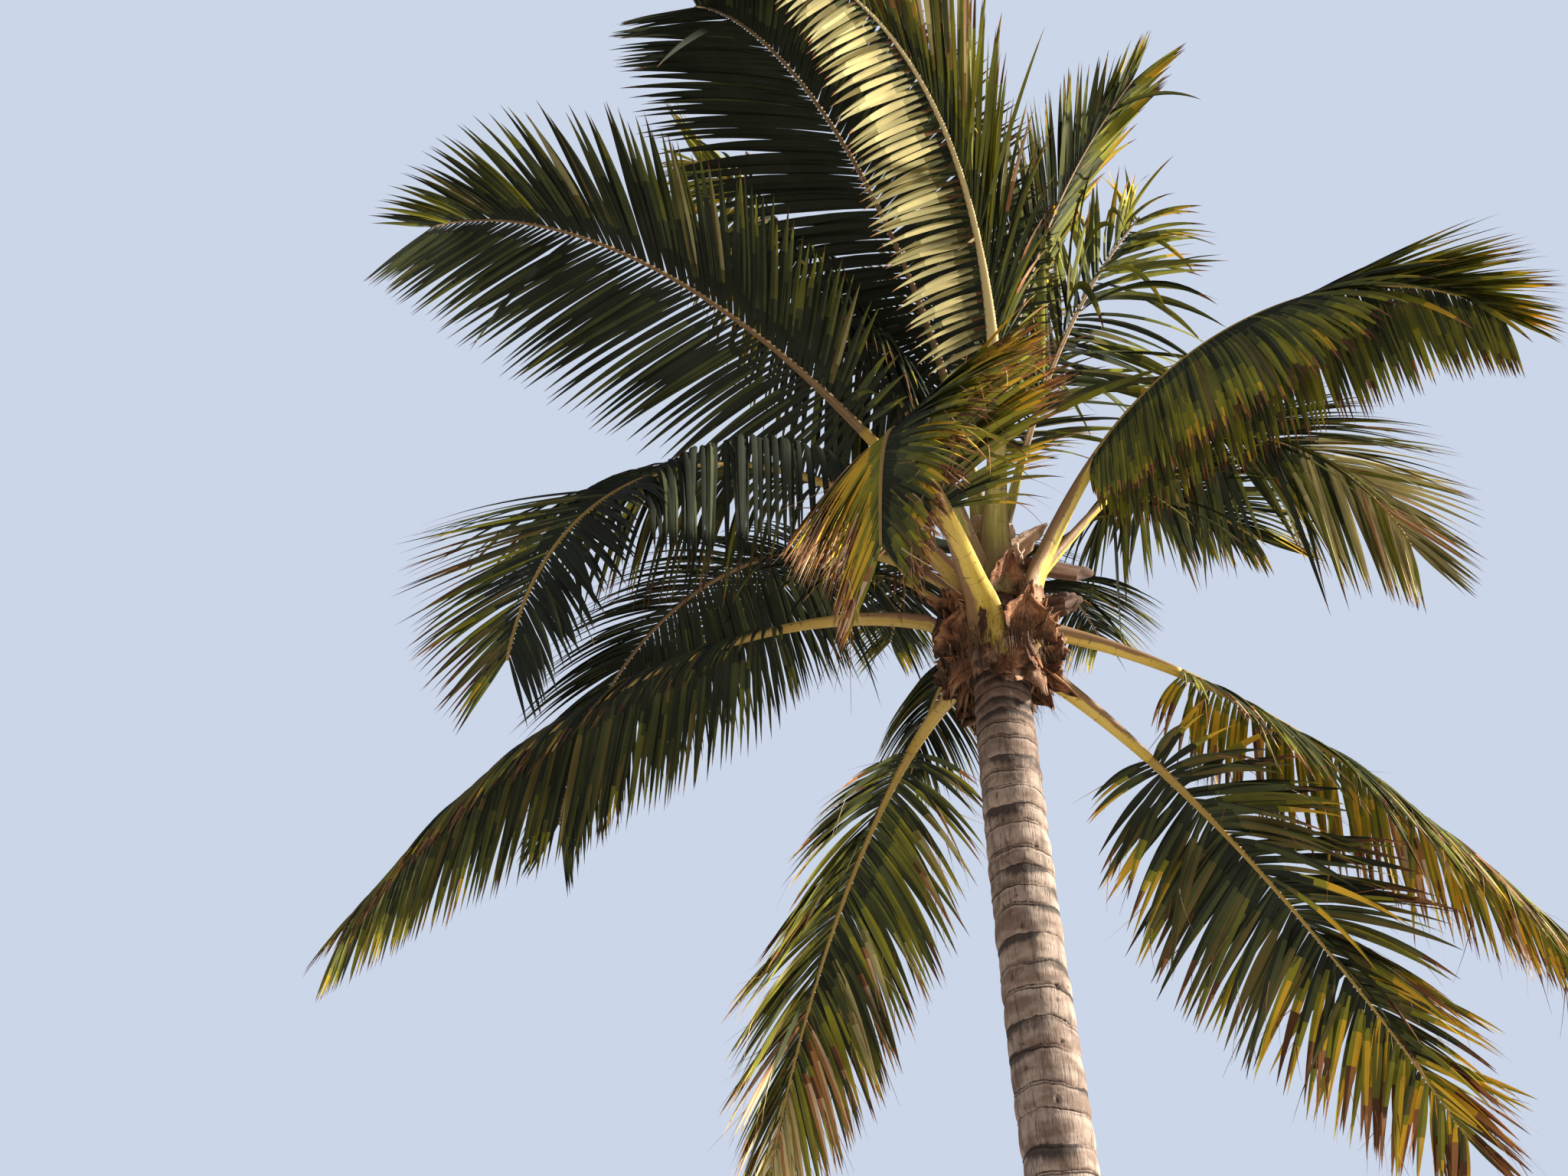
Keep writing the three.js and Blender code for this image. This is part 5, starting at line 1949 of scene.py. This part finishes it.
    def midribs(self, row: Row, aim: Array, length: Array, hang: Array) -> Array:
        """The midribs of a row's leaflets: leaflets by steps + 1 by 3.

        Args:
            row: the leaflets.
            aim: which way each sets out.
            length: how long each is.
            hang: how far each lets itself fall.

        Returns:
            The midribs' points.
        """
        frond, share = row.frond, row.share
        forward, side, _ = frond.axes(share)
        off = row.hand * self.root_off * RIB.size(frond.girth, share)[0]
        point = frond.course(share) + side * off[:, None]
        points = [point]
        for step in range(self.steps):
            fall = self.shape.fall(hang, frond.arch, (step + 0.5) / self.steps)
            bent = self.kept_off_rib(aim - fall[:, None] * UP, forward)
            point = point + bent * (length / self.steps)[:, None]
            points.append(point)
        return np.stack(points, 1)

    def sides(self, row: Row, rows: Array) -> tuple[Array, Array, Array]:
        """The directions ahead, across and up of a row's leaflets along their midribs.

        Args:
            row: the leaflets.
            rows: their midribs' points.

        Returns:
            The three directions at every point.
        """
        forward = row.frond.axes(row.share)[0][:, None]
        ahead = unit(np.gradient(rows, axis=1))
        across = unit(forward - ahead * dot(forward, ahead))
        normal = np.cross(across, ahead) * row.hand
        along = np.linspace(0, 1, self.steps + 1)
        root_twist, tip_twist = (size * row.wander[3 + k][:, None] for k, size in enumerate(self.twist_mess))
        twist = np.radians(row.frond.mess * (root_twist + tip_twist * along))
        return ahead, turned(across, ahead, twist), turned(normal, ahead, twist)

    def sizes(self, row: Row) -> Array:
        """How wide each leaflet of a row is."""
        shape = self.shape
        usual = shape.widest * of_side(row.frond.breadth, row.hand)
        swollen = shape.size[0] + shape.size[1] * shape.swelling(row.blade)
        return usual * swollen * lerp(*shape.size_range, self.chance.random(len(row.blade)))

    def collect(self, left: Array, middle: Array, right: Array, hand: int) -> None:
        """Keeps the corners of folded strips, turned so that their upper sides face alike."""
        corners = np.stack([left, middle, right], 2)
        self.corners.append(corners[:, :, ::-1] if hand < 0 else corners)

    def grow(self, frond: Frond, hand: int) -> None:
        """Grows the leaflets on one side of a frond.

        Args:
            frond: the frond that they grow on.
            hand: 1 for its left side, seen from the trunk outwards, and -1 for its right.
        """
        row = self.row(frond, hand)
        aim, length, hang = self.aims(row), self.lengths(row), self.hangs(row)
        rows = self.midribs(row, aim, length, hang)
        ahead, across, normal = self.sides(row, rows)
        along = np.linspace(0, 1, self.steps + 1)
        half = self.sizes(row)[:, None] / 2 * self.shape.outline(along)
        fold = np.radians(lerp(*self.shape.folds, along) * frond.crease)
        reach = across * (half * np.cos(fold))[..., None]
        drop = normal * (half * np.sin(fold))[..., None]
        self.collect(rows - reach - drop, rows, rows + reach - drop, hand)
        far_side = (across[:, self.steps // 2, 0] > 0) == (hand < 0)
        dress = of_side((frond.left, frond.right), hand)
        self.tints.append(self.colour(dress.value, row.blade, far_side))
        for _ in range(frond.threads):
            self.fray(rows, ahead, normal, hand)

    def fray(self, rows: Array, ahead: Array, normal: Array, hand: int) -> None:
        """Lets one torn thread come off near the end of each leaflet.

        Args:
            rows: the leaflets' midribs, count by steps + 1 by 3.
            ahead: their directions.
            normal: their upper sides.
            hand: 1 for the frond's left side and -1 for its right.
        """
        chance = self.chance
        count = len(rows)
        first, last = (round(share * self.steps) for share in self.thread_from)
        number = chance.integers(first, last, count)
        each = np.arange(count)
        start, way, face = rows[each, number], ahead[each, number], normal[each, number]
        side = np.cross(way, face)
        bend = np.radians(self.thread_bend) * chance.normal(0, 1, (2, count, 1))
        length = lerp(*self.thread_lengths, chance.random(count))[:, None]
        along = np.linspace(0, 1, self.steps + 1)[None, :, None]
        curl = side[:, None] * bend[0][:, None] + face[:, None] * bend[1][:, None]
        fall = -self.thread_fall * UP * along ** 2
        run = way[:, None] * along + curl * along ** self.thread_power + fall
        line = start[:, None] + length[:, None] * run
        half = side[:, None] * (self.thread_width / 2 * (1 - self.thread_taper * along))
        self.collect(line - half, line, line + half, hand)
        tints = self.pick(self.thread_tints, count)
        self.tints.append(np.broadcast_to(tints[:, None, None], (count, self.steps, 2)))

    def build(self) -> None:
        """Grows, joins, dresses and fits the leaflets."""
        for frond in FRONDS:
            self.grow(frond, 1)
            self.grow(frond, -1)
        corners = np.concatenate(self.corners)
        tints = np.concatenate(self.tints)
        count = len(corners)
        first = (np.arange(count)[:, None, None] * (self.steps + 1) + np.arange(self.steps)[:, None]) * 3
        first = first + np.arange(2)
        quads = np.stack([first, first + 1, first + 4, first + 3], -1)
        for number, tint in enumerate(Tint):
            chosen = quads[tints == number]
            leaf = LeafFinish(tint, self.colours[tint]).material()
            piece = Workshop.joined("leaflets_" + tint.value, corners.reshape(-1, 3), chosen, leaf)
            Workshop.fit(piece, "frond", FROND_NODES)


@dataclass
class Studio:
    """The floor, the sun, the soft sky and the camera at the photograph's viewing angle."""

    image_width: int = 2048
    focal_pixels: float = 2600.0
    sensor: float = 36.0
    pitch: float = 40.0
    camera_at: Triple = (-1.635, -7.957, 1.6)
    sun_from: Triple = (1.0, -0.04, 0.42)
    sun_strength: float = 10.0
    sun_colour: Colour = (1.0, 0.92, 0.79)
    ambient: Colour = (0.275, 0.27, 0.325)
    backdrop: Colour = (0.6, 0.67, 0.81)
    floor_colour: Colour = (0.5, 0.48, 0.45)
    floor_radius: float = 45.0
    floor_sides: int = 96
    floor_drop: float = 0.002
    sun_angle: float = 4.0
    farthest: float = 500.0

    def sun(self, name: str) -> None:
        """Adds the one soft distant light."""
        data = bpy.data.lights.new(name, "SUN")
        data.energy = self.sun_strength
        data.color = self.sun_colour
        data.angle = math.radians(self.sun_angle)
        lamp = bpy.data.objects.new(name, data)
        lamp.rotation_mode = "QUATERNION"
        lamp.rotation_quaternion = Vector(self.sun_from).to_track_quat("Z", "Y")
        bpy.context.scene.collection.objects.link(lamp)

    def build(self) -> None:
        """Makes the studio and the camera."""
        scene = bpy.context.scene
        mesh = bmesh.new()
        bmesh.ops.create_circle(mesh, cap_ends=True, segments=self.floor_sides, radius=self.floor_radius)
        bmesh.ops.translate(mesh, verts=mesh.verts, vec=(0, 0, -self.floor_drop))
        paint = PlainFinish("floor_paint", self.floor_colour)
        floor = Workshop.keep("floor", mesh, paint.material(), smooth=False)
        self.sun("key")
        world = bpy.data.worlds.new("studio")
        world.use_nodes = True
        nodes, links = world.node_tree.nodes, world.node_tree.links
        seen = nodes.new("ShaderNodeLightPath").outputs["Is Camera Ray"]
        colour = nodes.new("ShaderNodeMix")
        colour.data_type = "RGBA"
        links.new(seen, colour.inputs[0])
        colour.inputs[6].default_value = (*self.ambient, 1.0)
        colour.inputs[7].default_value = (*self.backdrop, 1.0)
        links.new(colour.outputs[2], nodes["Background"].inputs["Color"])
        scene.world = world
        scene.view_settings.view_transform = "Standard"
        data = bpy.data.cameras.new("camera")
        data.sensor_width = self.sensor
        data.lens = self.focal_pixels / self.image_width * self.sensor
        data.clip_end = self.farthest
        camera = bpy.data.objects.new("camera", data)
        camera.location = self.camera_at
        camera.rotation_euler = (math.radians(90 + self.pitch), 0, 0)
        scene.collection.objects.link(camera)
        scene.camera = camera


def main() -> None:
    """Builds the palm and its studio."""
    logging.basicConfig(level=logging.INFO, format="%(name)s %(message)s")
    Studio().build()
    Trunk().build()
    Heart().build()
    for stub in STUBS:
        stub.build()
    Stalks().build()
    Leaflets().build()
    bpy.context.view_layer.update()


if __name__ == "__main__":
    main()
